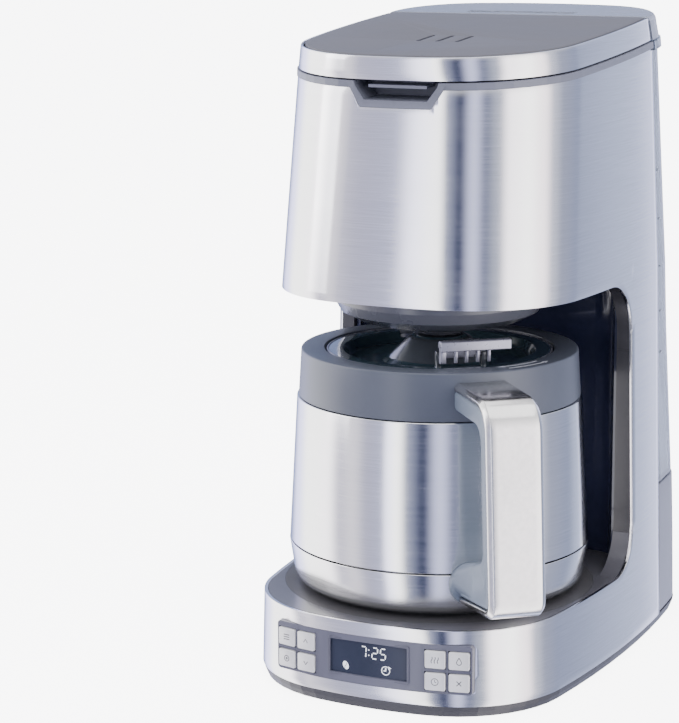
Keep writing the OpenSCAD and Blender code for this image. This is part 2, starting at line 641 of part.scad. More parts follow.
// Thermal carafe.
module carafe_shell() color("gainsboro") placed() revolve_at_carafe() difference() {
    polygon([[carafe_r - 0.2, 75.6], [81, 157.6], [80.6, 158.2], [67.6, 158.2], [67.6, 75.6]]);
    polygon([[carafe_r - 1.6, 74], [79.6, 156.8], [60, 156.8], [60, 74]]);
}
module carafe_base_band() color("gainsboro") placed() revolve_at_carafe() difference() {
    polygon([[0, deck_z + 0.2], [76, deck_z + 0.2], [80.5, 51.8], [83.4, 55.6], [carafe_r, 74.4],
        [carafe_r - 0.4, 75.4], [0, 75.4]]);
    polygon([[0, deck_z + 1.8], [75.2, deck_z + 1.8], [79, 53], [81.6, 56.6], [carafe_r - 1.6, 80],
        [0, 80]]);
}
module carafe_flask() color("silver") placed() revolve_at_carafe() difference() {
    polygon([[0, 56], [66, 56], [75, 62], [76.6, 72], [72.6, 150], [66, 158.2], [59.6, 161], [59.6, 166],
        [0, 166]]);
    polygon([[0, 57.2], [65.4, 57.2], [74, 63], [75.4, 72], [71.4, 149.4], [65, 157], [58.4, 160],
        [58.4, 170], [0, 170]]);
}
collar_in = 65;
module carafe_collar() color("#7c7f86") placed() difference() {
    revolve_at_carafe() difference() {
        polygon([[80, 158.4], [78.4, carafe_top - 1], [77.4, carafe_top], [collar_in + 0.6, carafe_top],
            [collar_in, carafe_top - 0.6], [60.2, 166.2], [60.2, 162], [66, 158.9], [66, 158.4]]);
        polygon([[77.4, 158], [76, 182], [68, 182], [63, 168], [63, 163], [67, 160.6], [68, 158]]);
    }
    translate([0, carafe_y, carafe_top + 4]) rotate([0, 0, handle_angle]) translate([0, 72, 0])
        rotate([90, 0, 0]) cylinder(r = 9, h = 20, center = true);
}
module carafe_lid() color("#22262c") placed() translate([0, carafe_y, 0]) {
    difference() {
        lid_body();
        rotate([0, 0, handle_angle]) translate([-8, 46, 180.6]) cube([16, 20, 20]);
    }
    rotate([0, 0, handle_angle]) for (x = [-15.6, 10.2]) translate([x, 0, 0]) rotate([90, 0, 90])
        linear_extrude(2.4) difference() {
            union() {
                translate([-lever_pin_r, lever_pin_z]) circle(2.4);
                translate([-lever_pin_r - 2.4, 176.2]) square([4.8, lever_pin_z - 176.2]);
            }
            translate([-lever_pin_r, lever_pin_z]) circle(1.36);
        }
}
module lid_body() {
    rotate_extrude($fn = 128) difference() {
        polygon([[0, 160.5], [50, 160.5], [52, 162], [57.4, 166.5], [63.9, 181.6], [64.1, 183.6],
            [63.4, 184.4], [55, 184], [53, 178.4], [32, 177.2], [27, 180], [17, 191], [14.6, 192.4],
            [0, 192.4]]);
        polygon([[0, 150], [48.6, 150], [48.6, 163], [54.6, 168], [58.6, 176.6], [50, 175.6], [30, 174.6],
            [25, 177.6], [15.4, 188], [13.4, 189.6], [0, 189.6]]);
        polygon([[0, 188], [4, 188], [4, 195], [0, 195]]);
    }
}
module lid_gasket() color("#b9bcc2") placed() revolve_at_carafe() translate([55.2, 162.6]) circle(1.5);
lever_pin_r = 44;
lever_pin_z = 188.5;
lever_left = -18;
lever_front = 62.4;
module pour_lever() color("#94969e") placed() translate([0, carafe_y, 0]) rotate([0, 0, handle_angle]) {
    translate([0, 0, 195.2]) linear_extrude(2.4) translate([lever_left, -61.6]) round_rect(40, 16.4, 2);
    translate([lever_left, -lever_front, 193.4]) cube([40, 2.4, 6]);
    translate([lever_left, -61, 186.6]) cube([3.8, 13.8, 9]);
    for (x = [-8.7, -2.6, 3.7, 10.1]) translate([x - 0.9, -60.2, 186.6]) cube([1.8, 13, 9]);
    translate([-12.6, -47.2, 187.2]) cube([21.7, 2, 8.4]);
    translate([-12.6, -46, 187.2]) cube([21.7, 2.2, 1.4]);
    translate([-15.5, -lever_pin_r, lever_pin_z]) rotate([0, 90, 0]) cylinder(r = 1.3, h = 28);
}

// Handle: side profile in radius and height. Its outer face leans out towards the bottom.
handle_high = 180;
handle_out = 134.5;
handle_low = 66.5;
lean = 0.083;
drop = 0.124;
top_bend = 18;
low_bend = 10;
strip_t = 4.2;
root_r = 60;
function lean_x(z, x0) = x0 + lean * (handle_high - z);
function drop_z(x) = handle_low + drop * (x - lean_x(handle_low, handle_out));
top_spot = [lean_x(handle_high - top_bend, handle_out) - top_bend * norm([1, lean]), handle_high - top_bend];
low_x = lean_x(handle_low + low_bend, handle_out) - low_bend * norm([1, lean]);
low_spot = [low_x, drop_z(low_x) + low_bend * norm([1, drop])];
function turn_points(c, r, a0, a1) = concat(arc_points(c, r, a0, a1, 14), [c + r * [cos(a1), sin(a1)]]);
module handle_outline(inset) {
    polygon(concat([[root_r, handle_high - inset]],
        turn_points(top_spot, top_bend - inset, 90, atan(lean)),
        turn_points(low_spot, low_bend - inset, atan(lean), atan(drop) - 90),
        [[root_r, drop_z(root_r) + inset]]));
}
// Space for the fingers, between the arms.
gap_high = 164.6;
gap_out = 118.4;
gap_bend = 10;
gap_heel = 8;
arm_r = 85;
arm_z = 79.4;
arm_slope = 20.3;
gap_top_spot = [lean_x(gap_high - gap_bend, gap_out) - gap_bend * norm([1, lean]), gap_high - gap_bend];
gap_low_spot = [117, 99.8];
module finger_gap() {
    polygon(concat([[50, gap_high]], turn_points(gap_top_spot, gap_bend, 90, atan(lean)),
        turn_points(gap_low_spot, gap_heel, atan(lean), arm_slope - 90), [[arm_r, arm_z], [50, arm_z]]));
}
module handle_frame() { translate([0, carafe_y, 0]) rotate([0, 0, handle_angle - 90]) children(); }
module handle_extrude(w) {
    handle_frame() rotate([90, 0, 0]) linear_extrude(w, center = true) children();
}
module carafe_clear() {
    translate([0, carafe_y, 0]) {
        translate([0, 0, 75.5]) cylinder(r1 = carafe_r + gap, r2 = 80.9 + gap, h = 82.9, $fn = 128);
        translate([0, 0, 158.3]) cylinder(r1 = 80 + gap, r2 = 78.4 + gap, h = 30, $fn = 128);
        translate([0, 0, 55]) cylinder(r1 = 83.6 + gap, r2 = carafe_r + 2 * gap, h = 20.6, $fn = 128);
    }
}
// Rounded foot of the grip on the carafe's base band.
boss_half_w = 20;
boss_r = 12;
boss_z = 70;
arm_end = 110;
module grip_foot() {
    handle_frame() hull() {
        for (s = [-1, 1]) translate([78, s * (boss_half_w - boss_r), boss_z]) rotate([0, 90, 0])
            cylinder(r = boss_r, h = 7, $fn = 32);
        translate([arm_end, 0.3 - handle_w / 2, drop_z(arm_end) + strip_t + gap])
            cube([4, handle_w - 0.6, 23]);
    }
}
strip_end = 88;
module handle_grip() color("#8794a6") placed() difference() {
    union() {
        handle_extrude(handle_w - 0.6) difference() {
            handle_outline(strip_t + gap);
            finger_gap();
        }
        difference() {
            grip_foot();
            handle_extrude(2 * handle_w) difference() {
                translate([strip_end, 40]) square(60);
                handle_outline(strip_t + gap);
            }
        }
    }
    carafe_clear();
}
module handle_strip() color("#d6d4cf") placed() difference() {
    handle_extrude(handle_w) difference() {
        handle_outline(0);
        handle_outline(strip_t);
        finger_gap();
        translate([0, 40]) square([strip_end, 60]);
    }
    carafe_clear();
}

stainless_wrap();
upper_liner();
column_liner();
base_deck();
bay_back_panel();
carafe_pad();
base_pan();
rubber_feet();
base_screws();
rear_housing();
spine_panel();
cord_gland();
tank_socket();
socket_seal();
top_rim();
control_bezel();
display_window();
display_module();
control_board();
button(0);  // option_button
button(1);  // up_button
button(2);  // set_button
button(3);  // down_button
button(4);  // aroma_button
button(5);  // brew_button
button(6);  // auto_start_button
button(7);  // cancel_button
power_board();
flow_heater();
heater_bracket();
thermostat();
inlet_hose();
riser_hose();
water_spout();
drip_funnel();
filter_basket();
mesh_filter();
basket_handle();
drip_stop_valve();
drip_stop_spring();
lid_band();
lid_panel();
lid_inner_cover();
lid_hinge_pin();
shower_head();
water_tank();
tank_lid();
tank_hinge_pin();
tank_valve_body();
tank_valve_stem();
tank_valve_spring();
carafe_shell();
carafe_base_band();
carafe_flask();
carafe_collar();
carafe_lid();
lid_gasket();
pour_lever();
handle_grip();
handle_strip();
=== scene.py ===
import math

import bmesh
import bpy
from mathutils import Matrix, Vector


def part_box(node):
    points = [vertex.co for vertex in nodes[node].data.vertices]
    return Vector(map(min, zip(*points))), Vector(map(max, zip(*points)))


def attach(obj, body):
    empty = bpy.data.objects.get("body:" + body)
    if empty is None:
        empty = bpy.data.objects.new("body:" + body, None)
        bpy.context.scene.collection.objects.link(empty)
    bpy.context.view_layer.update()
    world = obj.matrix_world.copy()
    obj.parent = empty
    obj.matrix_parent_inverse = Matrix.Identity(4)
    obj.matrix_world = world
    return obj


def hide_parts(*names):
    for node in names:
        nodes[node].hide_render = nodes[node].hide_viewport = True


# Lengths in this script are millimetres until a mesh is made, as in the part's source.
MM = 0.001

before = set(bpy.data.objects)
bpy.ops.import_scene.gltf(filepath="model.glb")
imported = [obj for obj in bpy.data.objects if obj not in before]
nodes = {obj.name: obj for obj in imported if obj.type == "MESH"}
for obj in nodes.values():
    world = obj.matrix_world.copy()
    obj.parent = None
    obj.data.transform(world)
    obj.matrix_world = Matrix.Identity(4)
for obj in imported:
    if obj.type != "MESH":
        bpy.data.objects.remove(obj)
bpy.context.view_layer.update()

# The drawing's origin is under the middle of the base, the part's under the middle of the whole box.
ORIGIN = Vector((-3.04, 9.56, 0))


def placed(x, y, z):
    return ((x + ORIGIN.x) * MM, (y + ORIGIN.y) * MM, (z + ORIGIN.z) * MM)


def mm_box(node):
    low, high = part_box(node)
    return low / MM - ORIGIN, high / MM - ORIGIN


# ---------------------------------------------------------------- camera, light and floor

CAMERA_AT = placed(522.7, -1272.5, 444.8)
CAMERA_AZIMUTH = math.radians(25.56)
CAMERA_PITCH = math.radians(11.42)
CAMERA_ROLL = math.radians(-0.28)
CAMERA_LENS = 119.06

STUDIO_STRENGTH = 4.0
# Overhead the studio is one grey; it blends into the horizon between these heights of the unit sphere.
OVERHEAD = (0.31, 0.31, 0.33, 1)
BLEND_FROM, BLEND_TO = 0.25, 0.8
FLOOR_HALF = 60
FLOOR_GLOW = 6.5

# The studio's brightness round the horizon: (azimuth in degrees from +X, red, green, blue).
STUDIO = [
    (-180, 1.000, 1.000, 1.000), (-166, 1.000, 0.958, 1.000), (-150, 0.284, 0.274, 0.333),
    (-138, 0.361, 0.347, 0.391), (-124, 0.178, 0.178, 0.243), (-113, 0.178, 0.185, 0.263),
    (-106, 0.811, 0.811, 1.000), (-100, 1.000, 1.000, 1.000), (-91, 0.100, 0.109, 0.165),
    (-79, 0.014, 0.017, 0.035), (-66, 0.284, 0.296, 0.425), (-55, 0.069, 0.076, 0.119),
    (-43, 0.165, 0.178, 0.225), (-30, 0.905, 0.856, 0.905), (-12, 1.000, 1.000, 1.000),
    (4, 0.811, 0.732, 0.770), (17, 0.225, 0.234, 0.284), (30, 0.119, 0.129, 0.178),
    (52, 0.100, 0.114, 0.171), (70, 0.178, 0.200, 0.284), (84, 0.462, 0.482, 0.663),
    (98, 0.129, 0.152, 0.243), (128, 0.109, 0.135, 0.243), (150, 0.603, 0.603, 0.905),
    (168, 1.000, 1.000, 1.000), (180, 1.000, 1.000, 1.000),
]


def add_camera():
    data = bpy.data.cameras.new("camera")
    data.lens = CAMERA_LENS
    data.sensor_width = 36
    data.clip_end = 200
    cam = bpy.data.objects.new("camera", data)
    right = Vector((math.cos(CAMERA_AZIMUTH), math.sin(CAMERA_AZIMUTH), 0))
    level = Vector((-math.sin(CAMERA_AZIMUTH), math.cos(CAMERA_AZIMUTH), 0))
    ahead = level * math.cos(CAMERA_PITCH) - Vector((0, 0, math.sin(CAMERA_PITCH)))
    up = right.cross(ahead)
    rolled = right * math.cos(CAMERA_ROLL) + up * math.sin(CAMERA_ROLL)
    up = rolled.cross(ahead)
    turn = Matrix((rolled, up, -ahead)).transposed().to_4x4()
    cam.matrix_world = Matrix.Translation(CAMERA_AT) @ turn
    bpy.context.scene.collection.objects.link(cam)
    bpy.context.scene.camera = cam


def add_world():
    world = bpy.data.worlds.new("studio")
    bpy.context.scene.world = world
    world.use_nodes = True
    tree = world.node_tree
    tree.nodes.clear()
    coord = tree.nodes.new("ShaderNodeTexCoord")
    radial = tree.nodes.new("ShaderNodeTexGradient")
    radial.gradient_type = "RADIAL"
    ramp = tree.nodes.new("ShaderNodeValToRGB")
    ramp.color_ramp.interpolation = "EASE"
    stops = ramp.color_ramp.elements
    for i, (azimuth, *rgb) in enumerate(STUDIO):
        place = (azimuth + 180) / 360
        stop = stops[0] if i == 0 else stops[-1] if i == len(STUDIO) - 1 else stops.new(place)
        stop.position = place
        stop.color = (*rgb, 1)
    split = tree.nodes.new("ShaderNodeSeparateXYZ")
    height = tree.nodes.new("ShaderNodeMapRange")
    height.inputs["From Min"].default_value = BLEND_FROM
    height.inputs["From Max"].default_value = BLEND_TO
    mix = tree.nodes.new("ShaderNodeMixRGB")
    mix.inputs["Color2"].default_value = OVERHEAD
    back = tree.nodes.new("ShaderNodeBackground")
    back.inputs["Strength"].default_value = STUDIO_STRENGTH
    out = tree.nodes.new("ShaderNodeOutputWorld")
    link = tree.links.new
    link(coord.outputs["Generated"], radial.inputs["Vector"])
    link(radial.outputs["Fac"], ramp.inputs["Fac"])
    link(coord.outputs["Generated"], split.inputs["Vector"])
    link(split.outputs["Z"], height.inputs["Value"])
    link(height.outputs["Result"], mix.inputs["Fac"])
    link(ramp.outputs["Color"], mix.inputs["Color1"])
    link(mix.outputs["Color"], back.inputs["Color"])
    link(back.outputs["Background"], out.inputs["Surface"])


def add_softbox(name, at, aim, width, height, power, color=(1, 1, 1)):
    data = bpy.data.lights.new(name, "AREA")
    data.shape = "RECTANGLE"
    data.size = width
    data.size_y = height
    data.energy = power
    data.color = color
    lamp = bpy.data.objects.new(name, data)
    lamp.location = at
    lamp.rotation_euler = (Vector(aim) - Vector(at)).to_track_quat("-Z", "Y").to_euler()
    bpy.context.scene.collection.objects.link(lamp)
    return lamp


def add_floor():
    mesh = bpy.data.meshes.new("floor")
    corners = [(x * FLOOR_HALF, y * FLOOR_HALF, 0) for x, y in ((-1, -1), (1, -1), (1, 1), (-1, 1))]
    mesh.from_pydata(corners, [], [(0, 1, 2, 3)])
    floor = bpy.data.objects.new("floor", mesh)
    bpy.context.scene.collection.objects.link(floor)
    mat = bpy.data.materials.new("pale_floor")
    mat.use_nodes = True
    shader = mat.node_tree.nodes["Principled BSDF"]
    shader.inputs["Base Color"].default_value = (0.97, 0.97, 0.97, 1)
    shader.inputs["Roughness"].default_value = 0.75
    shader.inputs["Emission Color"].default_value = (1, 1, 1, 1)
    shader.inputs["Emission Strength"].default_value = FLOOR_GLOW
    mesh.materials.append(mat)
    floor.visible_glossy = False
    floor.visible_diffuse = False


add_camera()
add_world()
add_softbox("top_light", (0.15, -0.25, 1.5), (0, 0, 0.2), 1.4, 1.2, 9)
add_softbox("left_light", (-1.3, -0.7, 0.75), (0, 0, 0.2), 0.7, 1.1, 7)
add_floor()


# ---------------------------------------------------------------- materials


def principled(name):
    mat = bpy.data.materials.new(name)
    mat.use_nodes = True
    return mat, mat.node_tree, mat.node_tree.nodes["Principled BSDF"]


def noise(tree, scale, stretch=(1, 1, 1), detail=4.0, rough=0.55, distortion=0.0):
    coord = tree.nodes.new("ShaderNodeTexCoord")
    mapping = tree.nodes.new("ShaderNodeMapping")
    mapping.inputs["Scale"].default_value = stretch
    texture = tree.nodes.new("ShaderNodeTexNoise")
    texture.inputs["Scale"].default_value = scale
    texture.inputs["Detail"].default_value = detail
    texture.inputs["Roughness"].default_value = rough
    texture.inputs["Distortion"].default_value = distortion
    tree.links.new(coord.outputs["Object"], mapping.inputs["Vector"])
    tree.links.new(mapping.outputs["Vector"], texture.inputs["Vector"])
    return texture.outputs["Fac"]


def spread(tree, value, low, high, from_low=0.3, from_high=0.7):
    node = tree.nodes.new("ShaderNodeMapRange")
    node.inputs["From Min"].default_value = from_low
    node.inputs["From Max"].default_value = from_high
    node.inputs["To Min"].default_value = low
    node.inputs["To Max"].default_value = high
    tree.links.new(value, node.inputs["Value"])
    return node.outputs["Result"]


def tint(tree, value, dark, light, from_low=0.3, from_high=0.7):
    ramp = tree.nodes.new("ShaderNodeValToRGB")
    ramp.color_ramp.elements[0].position = from_low
    ramp.color_ramp.elements[1].position = from_high
    ramp.color_ramp.elements[0].color = (*dark, 1)
    ramp.color_ramp.elements[1].color = (*light, 1)
    tree.links.new(value, ramp.inputs["Fac"])
    return ramp.outputs["Color"]


# Painted highlight: convex edges, found by pointiness, are mixed towards a lighter colour.
def painted_edge_highlight(tree, color, highlight_color, low=0.53, high=0.62):
    geometry = tree.nodes.new("ShaderNodeNewGeometry")
    amount = spread(tree, geometry.outputs["Pointiness"], 0, 0.65, low, high)
    mix = tree.nodes.new("ShaderNodeMixRGB")
    mix.inputs["Color2"].default_value = (*highlight_color, 1)
    tree.links.new(amount, mix.inputs["Fac"])
    tree.links.new(color, mix.inputs["Color1"])
    return mix.outputs["Color"]


def bumped(tree, shader, height, strength, distance):
    bump = tree.nodes.new("ShaderNodeBump")
    bump.inputs["Strength"].default_value = strength
    bump.inputs["Distance"].default_value = distance
    tree.links.new(height, bump.inputs["Height"])
    tree.links.new(bump.outputs["Normal"], shader.inputs["Normal"])


def scaled(rgb, k):
    return tuple(min(1, c * k) for c in rgb)


def brushed_steel(name, rgb=(0.90, 0.895, 0.905), rough=0.165, grain=(30, 30, 2600), turn=0.25):
    """Steel with fine grain round the vertical axis, which draws highlights out upright."""
    mat, tree, shader = principled(name)
    fine = noise(tree, 1, grain, 5, 0.7)
    broad = noise(tree, 9, (1, 1, 6), 3)
    shade = tint(tree, fine, scaled(rgb, 0.9), scaled(rgb, 1.03))
    # Base colour with a painted highlight along the convex edges.
    tree.links.new(painted_edge_highlight(tree, shade, (0.95, 0.95, 0.96)), shader.inputs["Base Color"])
    add = tree.nodes.new("ShaderNodeMath")
    tree.links.new(spread(tree, fine, rough - 0.05, rough + 0.06), add.inputs[0])
    tree.links.new(spread(tree, broad, -0.02, 0.03), add.inputs[1])
    tree.links.new(add.outputs[0], shader.inputs["Roughness"])
    shader.inputs["Metallic"].default_value = 1
    shader.inputs["Anisotropic"].default_value = 0.75
    shader.inputs["Anisotropic Rotation"].default_value = turn
    tangent = tree.nodes.new("ShaderNodeTangent")
    tangent.direction_type = "RADIAL"
    tangent.axis = "Z"
    tree.links.new(tangent.outputs["Tangent"], shader.inputs["Tangent"])
    bumped(tree, shader, fine, 0.06, 0.00012)
    return mat


def satin_metal(name, rgb, rough=0.3, grain=(400, 400, 400), metallic=1.0):
    mat, tree, shader = principled(name)
    fine = noise(tree, 1, grain, 4, 0.6)
    broad = noise(tree, 22, (1, 1, 1), 3)
    shade = tint(tree, broad, scaled(rgb, 0.95), scaled(rgb, 1.04))
    # Base colour with a painted highlight along the convex edges.
    tree.links.new(painted_edge_highlight(tree, shade, scaled(rgb, 1.25)), shader.inputs["Base Color"])
    tree.links.new(spread(tree, fine, rough - 0.05, rough + 0.07), shader.inputs["Roughness"])
    shader.inputs["Metallic"].default_value = metallic
    bumped(tree, shader, fine, 0.05, 0.0001)
    return mat


def moulded(name, rgb, rough=0.45, texture=2600, bump=0.12, edge=1.5, coat=0.0):
    """Injection-moulded plastic: spark-eroded texture, faint mottling and a painted highlight on its edges."""
    mat, tree, shader = principled(name)
    grain = noise(tree, texture, (1, 1, 1), 2, 0.5)
    broad = noise(tree, 14, (1, 1, 1), 5, 0.6, 0.4)
    shade = tint(tree, broad, scaled(rgb, 0.92), scaled(rgb, 1.07))
    # Base colour with a painted highlight along the convex edges.
    tree.links.new(painted_edge_highlight(tree, shade, scaled(rgb, edge)), shader.inputs["Base Color"])
    tree.links.new(spread(tree, broad, rough - 0.05, rough + 0.07), shader.inputs["Roughness"])
    shader.inputs["Coat Weight"].default_value = coat
    shader.inputs["Coat Roughness"].default_value = 0.08
    bumped(tree, shader, grain, bump, 0.0001)
    return mat


def polished(name, rgb, rough=0.08, light=1.15, coat=0.6, specular=0.5):
    mat, tree, shader = principled(name)
    broad = noise(tree, 30, (1, 1, 1), 4, 0.6)
    haze = noise(tree, 240, (1, 1, 1), 3, 0.7)
    tree.links.new(tint(tree, broad, scaled(rgb, 0.93), scaled(rgb, light)), shader.inputs["Base Color"])
    tree.links.new(spread(tree, haze, rough - 0.02, rough + 0.05), shader.inputs["Roughness"])
    shader.inputs["Coat Weight"].default_value = coat
    shader.inputs["Specular IOR Level"].default_value = specular
    shader.inputs["Coat Roughness"].default_value = 0.04
    bumped(tree, shader, broad, 0.03, 0.0002)
    return mat


def smoked(name, rgb, rough=0.12, through=0.7):
    """Tinted see-through plastic."""
    mat, tree, shader = principled(name)
    broad = noise(tree, 18, (1, 1, 1), 4, 0.5)
    tree.links.new(tint(tree, broad, scaled(rgb, 0.95), scaled(rgb, 1.05)), shader.inputs["Base Color"])
    tree.links.new(spread(tree, broad, rough - 0.02, rough + 0.05), shader.inputs["Roughness"])
    shader.inputs["Transmission Weight"].default_value = through
    shader.inputs["IOR"].default_value = 1.46
    bumped(tree, shader, broad, 0.04, 0.0003)
    return mat


def glowing(name, rgb, power):
    mat, tree, shader = principled(name)
    broad = noise(tree, 900, (1, 1, 1), 2)
    tree.links.new(tint(tree, broad, scaled(rgb, 0.94), rgb), shader.inputs["Base Color"])
    shader.inputs["Emission Color"].default_value = (*rgb, 1)
    shader.inputs["Emission Strength"].default_value = power
    shader.inputs["Roughness"].default_value = 0.5
    return mat


STEEL = brushed_steel("brushed_steel_wrap")
CARAFE_STEEL = brushed_steel("brushed_steel_carafe", (0.90, 0.90, 0.905), 0.155)
RIM_GREY = moulded("rim_grey_plastic", (0.13, 0.137, 0.17), 0.4)
LID_GREY = moulded("lid_grey_plastic", (0.095, 0.094, 0.108), 0.5, bump=0.2)
DECK_GREY = moulded("deck_grey_plastic", (0.066, 0.065, 0.075), 0.34, coat=0.15)
LINER_GREY = moulded("liner_charcoal_plastic", (0.030, 0.029, 0.032), 0.34, coat=0.1)
PAD_GREY = moulded("pad_rubber", (0.045, 0.044, 0.047), 0.5, bump=0.3)
FOOT_GREY = moulded("foot_band_plastic", (0.045, 0.044, 0.050), 0.42)
BACK_NAVY = polished("bay_back_gloss", (0.028, 0.033, 0.07), 0.16)
HOUSING_GREY = moulded("rear_grey_plastic", (0.22, 0.23, 0.29), 0.4)
BEZEL_GREY = moulded("bezel_lavender_grey", (0.095, 0.097, 0.13), 0.34, coat=0.1)
CAP_SILVER = satin_metal("button_silver_paint", (0.78, 0.78, 0.77), 0.36, metallic=0.25)
LEGEND_GREY = moulded("legend_ink", (0.05, 0.05, 0.06), 0.5, bump=0.03)
LCD_NAVY = polished("display_glass", (0.03, 0.036, 0.06), 0.2, coat=0.0, specular=0.2)
LCD_WHITE = glowing("display_light", (0.95, 0.98, 1.0), 0.85)
COLLAR_GREY = moulded("collar_slate_plastic", (0.09, 0.102, 0.13), 0.36)
INSERT_DARK = polished("carafe_lid_smoked", (0.034, 0.058, 0.074), 0.12)
DOME_GREY = moulded("dome_dark_plastic", (0.06, 0.068, 0.08), 0.22, coat=0.4)
LEVER_SILVER = satin_metal("lever_silver", (0.34, 0.34, 0.40), 0.3, metallic=0.6)
GRIP_BLUE = moulded("grip_blue_grey", (0.17, 0.205, 0.26), 0.4)
STRIP_SATIN = satin_metal("handle_champagne", (0.80, 0.79, 0.77), 0.19)
GASKET = moulded("gasket_silicone", (0.55, 0.57, 0.6), 0.4)
TANK_SMOKED = smoked("tank_smoked_blue", (0.24, 0.28, 0.36), 0.14, 0.7)
TANK_LID_GREY = smoked("tank_lid_grey", (0.34, 0.37, 0.45), 0.2, 0.35)
FUNNEL_GREY = moulded("funnel_grey_plastic", (0.10, 0.105, 0.125), 0.28, coat=0.2)
DARK_PLASTIC = moulded("dark_inner_plastic", (0.05, 0.05, 0.055), 0.5)
PLATED = satin_metal("plated_steel", (0.7, 0.7, 0.7), 0.22)
RUBBER = moulded("black_rubber", (0.03, 0.03, 0.032), 0.7, bump=0.3)
SEAL_RED = moulded("seal_silicone", (0.42, 0.12, 0.07), 0.5)
HOSE = moulded("hose_silicone", (0.7, 0.67, 0.58), 0.45)
BOARD_GREEN = moulded("circuit_board", (0.03, 0.16, 0.07), 0.35)
CAST_ALUMINIUM = satin_metal("heater_aluminium", (0.6, 0.6, 0.58), 0.45, (150, 150, 150))
MESH_GOLD = satin_metal("filter_mesh", (0.72, 0.55, 0.26), 0.35, (2500, 2500, 2500))

NODE_MATERIALS = {
    "stainless_wrap": STEEL, "upper_liner": LINER_GREY, "column_liner": LINER_GREY, "base_deck": DECK_GREY,
    "bay_back_panel": BACK_NAVY, "carafe_pad": PAD_GREY, "base_pan": FOOT_GREY, "rubber_feet": RUBBER,
    "base_screws": PLATED, "rear_housing": HOUSING_GREY, "spine_panel": LINER_GREY, "cord_gland": RUBBER,
    "tank_socket": DARK_PLASTIC, "socket_seal": SEAL_RED, "top_rim": RIM_GREY, "control_bezel": BEZEL_GREY,
    "display_window": LCD_NAVY, "display_module": DARK_PLASTIC, "control_board": BOARD_GREEN,
    "power_board": BOARD_GREEN, "flow_heater": CAST_ALUMINIUM, "heater_bracket": PLATED,
    "thermostat": CAST_ALUMINIUM, "inlet_hose": HOSE, "riser_hose": HOSE, "water_spout": DARK_PLASTIC,
    "drip_funnel": FUNNEL_GREY, "filter_basket": DARK_PLASTIC, "mesh_filter": MESH_GOLD,
    "basket_handle": DARK_PLASTIC, "drip_stop_valve": RIM_GREY, "drip_stop_spring": PLATED, "lid_band": STEEL,
    "lid_panel": LID_GREY, "lid_inner_cover": RIM_GREY, "lid_hinge_pin": PLATED, "shower_head": DARK_PLASTIC,
    "water_tank": TANK_SMOKED, "tank_lid": TANK_LID_GREY, "tank_hinge_pin": PLATED,
    "tank_valve_body": GASKET, "tank_valve_stem": DARK_PLASTIC, "tank_valve_spring": PLATED,
    "carafe_shell": CARAFE_STEEL, "carafe_base_band": CARAFE_STEEL, "carafe_flask": CARAFE_STEEL,
    "carafe_collar": COLLAR_GREY, "carafe_lid": INSERT_DARK, "lid_gasket": GASKET, "pour_lever": LEVER_SILVER,
    "handle_grip": GRIP_BLUE, "handle_strip": STRIP_SATIN,
}
BUTTONS = ["option_button", "up_button", "set_button", "down_button", "aroma_button", "brew_button",
           "auto_start_button", "cancel_button"]
for button in BUTTONS:
    NODE_MATERIALS[button] = CAP_SILVER

# ---------------------------------------------------------------- mesh helpers


# Edges that turn by more than this many degrees stay sharp.
SMOOTH_ANGLE = 32


def finish_mesh(mesh, smooth_angle=SMOOTH_ANGLE):
    mesh.validate()
    mesh.shade_smooth()
    mesh.set_sharp_from_angle(angle=math.radians(smooth_angle))


def face_outwards(mesh):
    work = bmesh.new()
    work.from_mesh(mesh)
    bmesh.ops.recalc_face_normals(work, faces=work.faces)
    work.to_mesh(mesh)
    work.free()


def piece(name, points, faces, material, body, slot, replaces=(), smooth_angle=SMOOTH_ANGLE):
    mesh = bpy.data.meshes.new(name)
    mesh.from_pydata([placed(*p) for p in points], [], faces)
    face_outwards(mesh)
    mesh.materials.append(material)
    finish_mesh(mesh, smooth_angle)
    thing = bpy.data.objects.new(name, mesh)
    bpy.context.scene.collection.objects.link(thing)
    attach(thing, body)
    if replaces:
        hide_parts(*replaces)
    return thing


def bake_modifiers(thing, smooth_angle=SMOOTH_ANGLE):
    """Turns a piece's modifiers into its mesh."""
    bpy.context.view_layer.update()
    graph = bpy.context.evaluated_depsgraph_get()
    mesh = bpy.data.meshes.new_from_object(thing.evaluated_get(graph))
    old = thing.data
    thing.modifiers.clear()
    thing.data = mesh
    bpy.data.meshes.remove(old)
    finish_mesh(mesh, smooth_angle)


def soften(thing, width, segments=3, angle=35, smooth_angle=SMOOTH_ANGLE):
    """Rounds the edges that are sharper than an angle."""
    mod = thing.modifiers.new("bevel", "BEVEL")
    mod.width = width * MM
    mod.segments = segments
    mod.limit_method = "ANGLE"
    mod.angle_limit = math.radians(angle)
    mod.use_clamp_overlap = True
    bake_modifiers(thing, smooth_angle)


def thicken(thing, thickness, even=False):
    """Gives a skin its sheet, inwards from its outer face."""
    mod = thing.modifiers.new("sheet", "SOLIDIFY")
    mod.thickness = thickness * MM
    mod.offset = -1
    mod.use_even_offset = even
    bake_modifiers(thing)


def cut(thing, prism_points, prism_faces):
    """Takes a closed solid out of a piece."""
    mesh = bpy.data.meshes.new("cutter")
    mesh.from_pydata([placed(*p) for p in prism_points], [], prism_faces)
    face_outwards(mesh)
    tool = bpy.data.objects.new("cutter", mesh)
    bpy.context.scene.collection.objects.link(tool)
    mod = thing.modifiers.new("cut", "BOOLEAN")
    mod.operation = "DIFFERENCE"
    mod.solver = "EXACT"
    mod.object = tool
    bake_modifiers(thing)
    bpy.data.objects.remove(tool)


def prism(outline, low, high, place):
    """Closed prism: an outline in a plane, from low to high along its normal; place gives each corner's spot."""
    n = len(outline)
    points = [place(u, v, low) for u, v in outline] + [place(u, v, high) for u, v in outline]
    faces = [tuple(range(n))[::-1], tuple(range(n, 2 * n))]
    faces += [(i, (i + 1) % n, n + (i + 1) % n, n + i) for i in range(n)]
    return points, faces


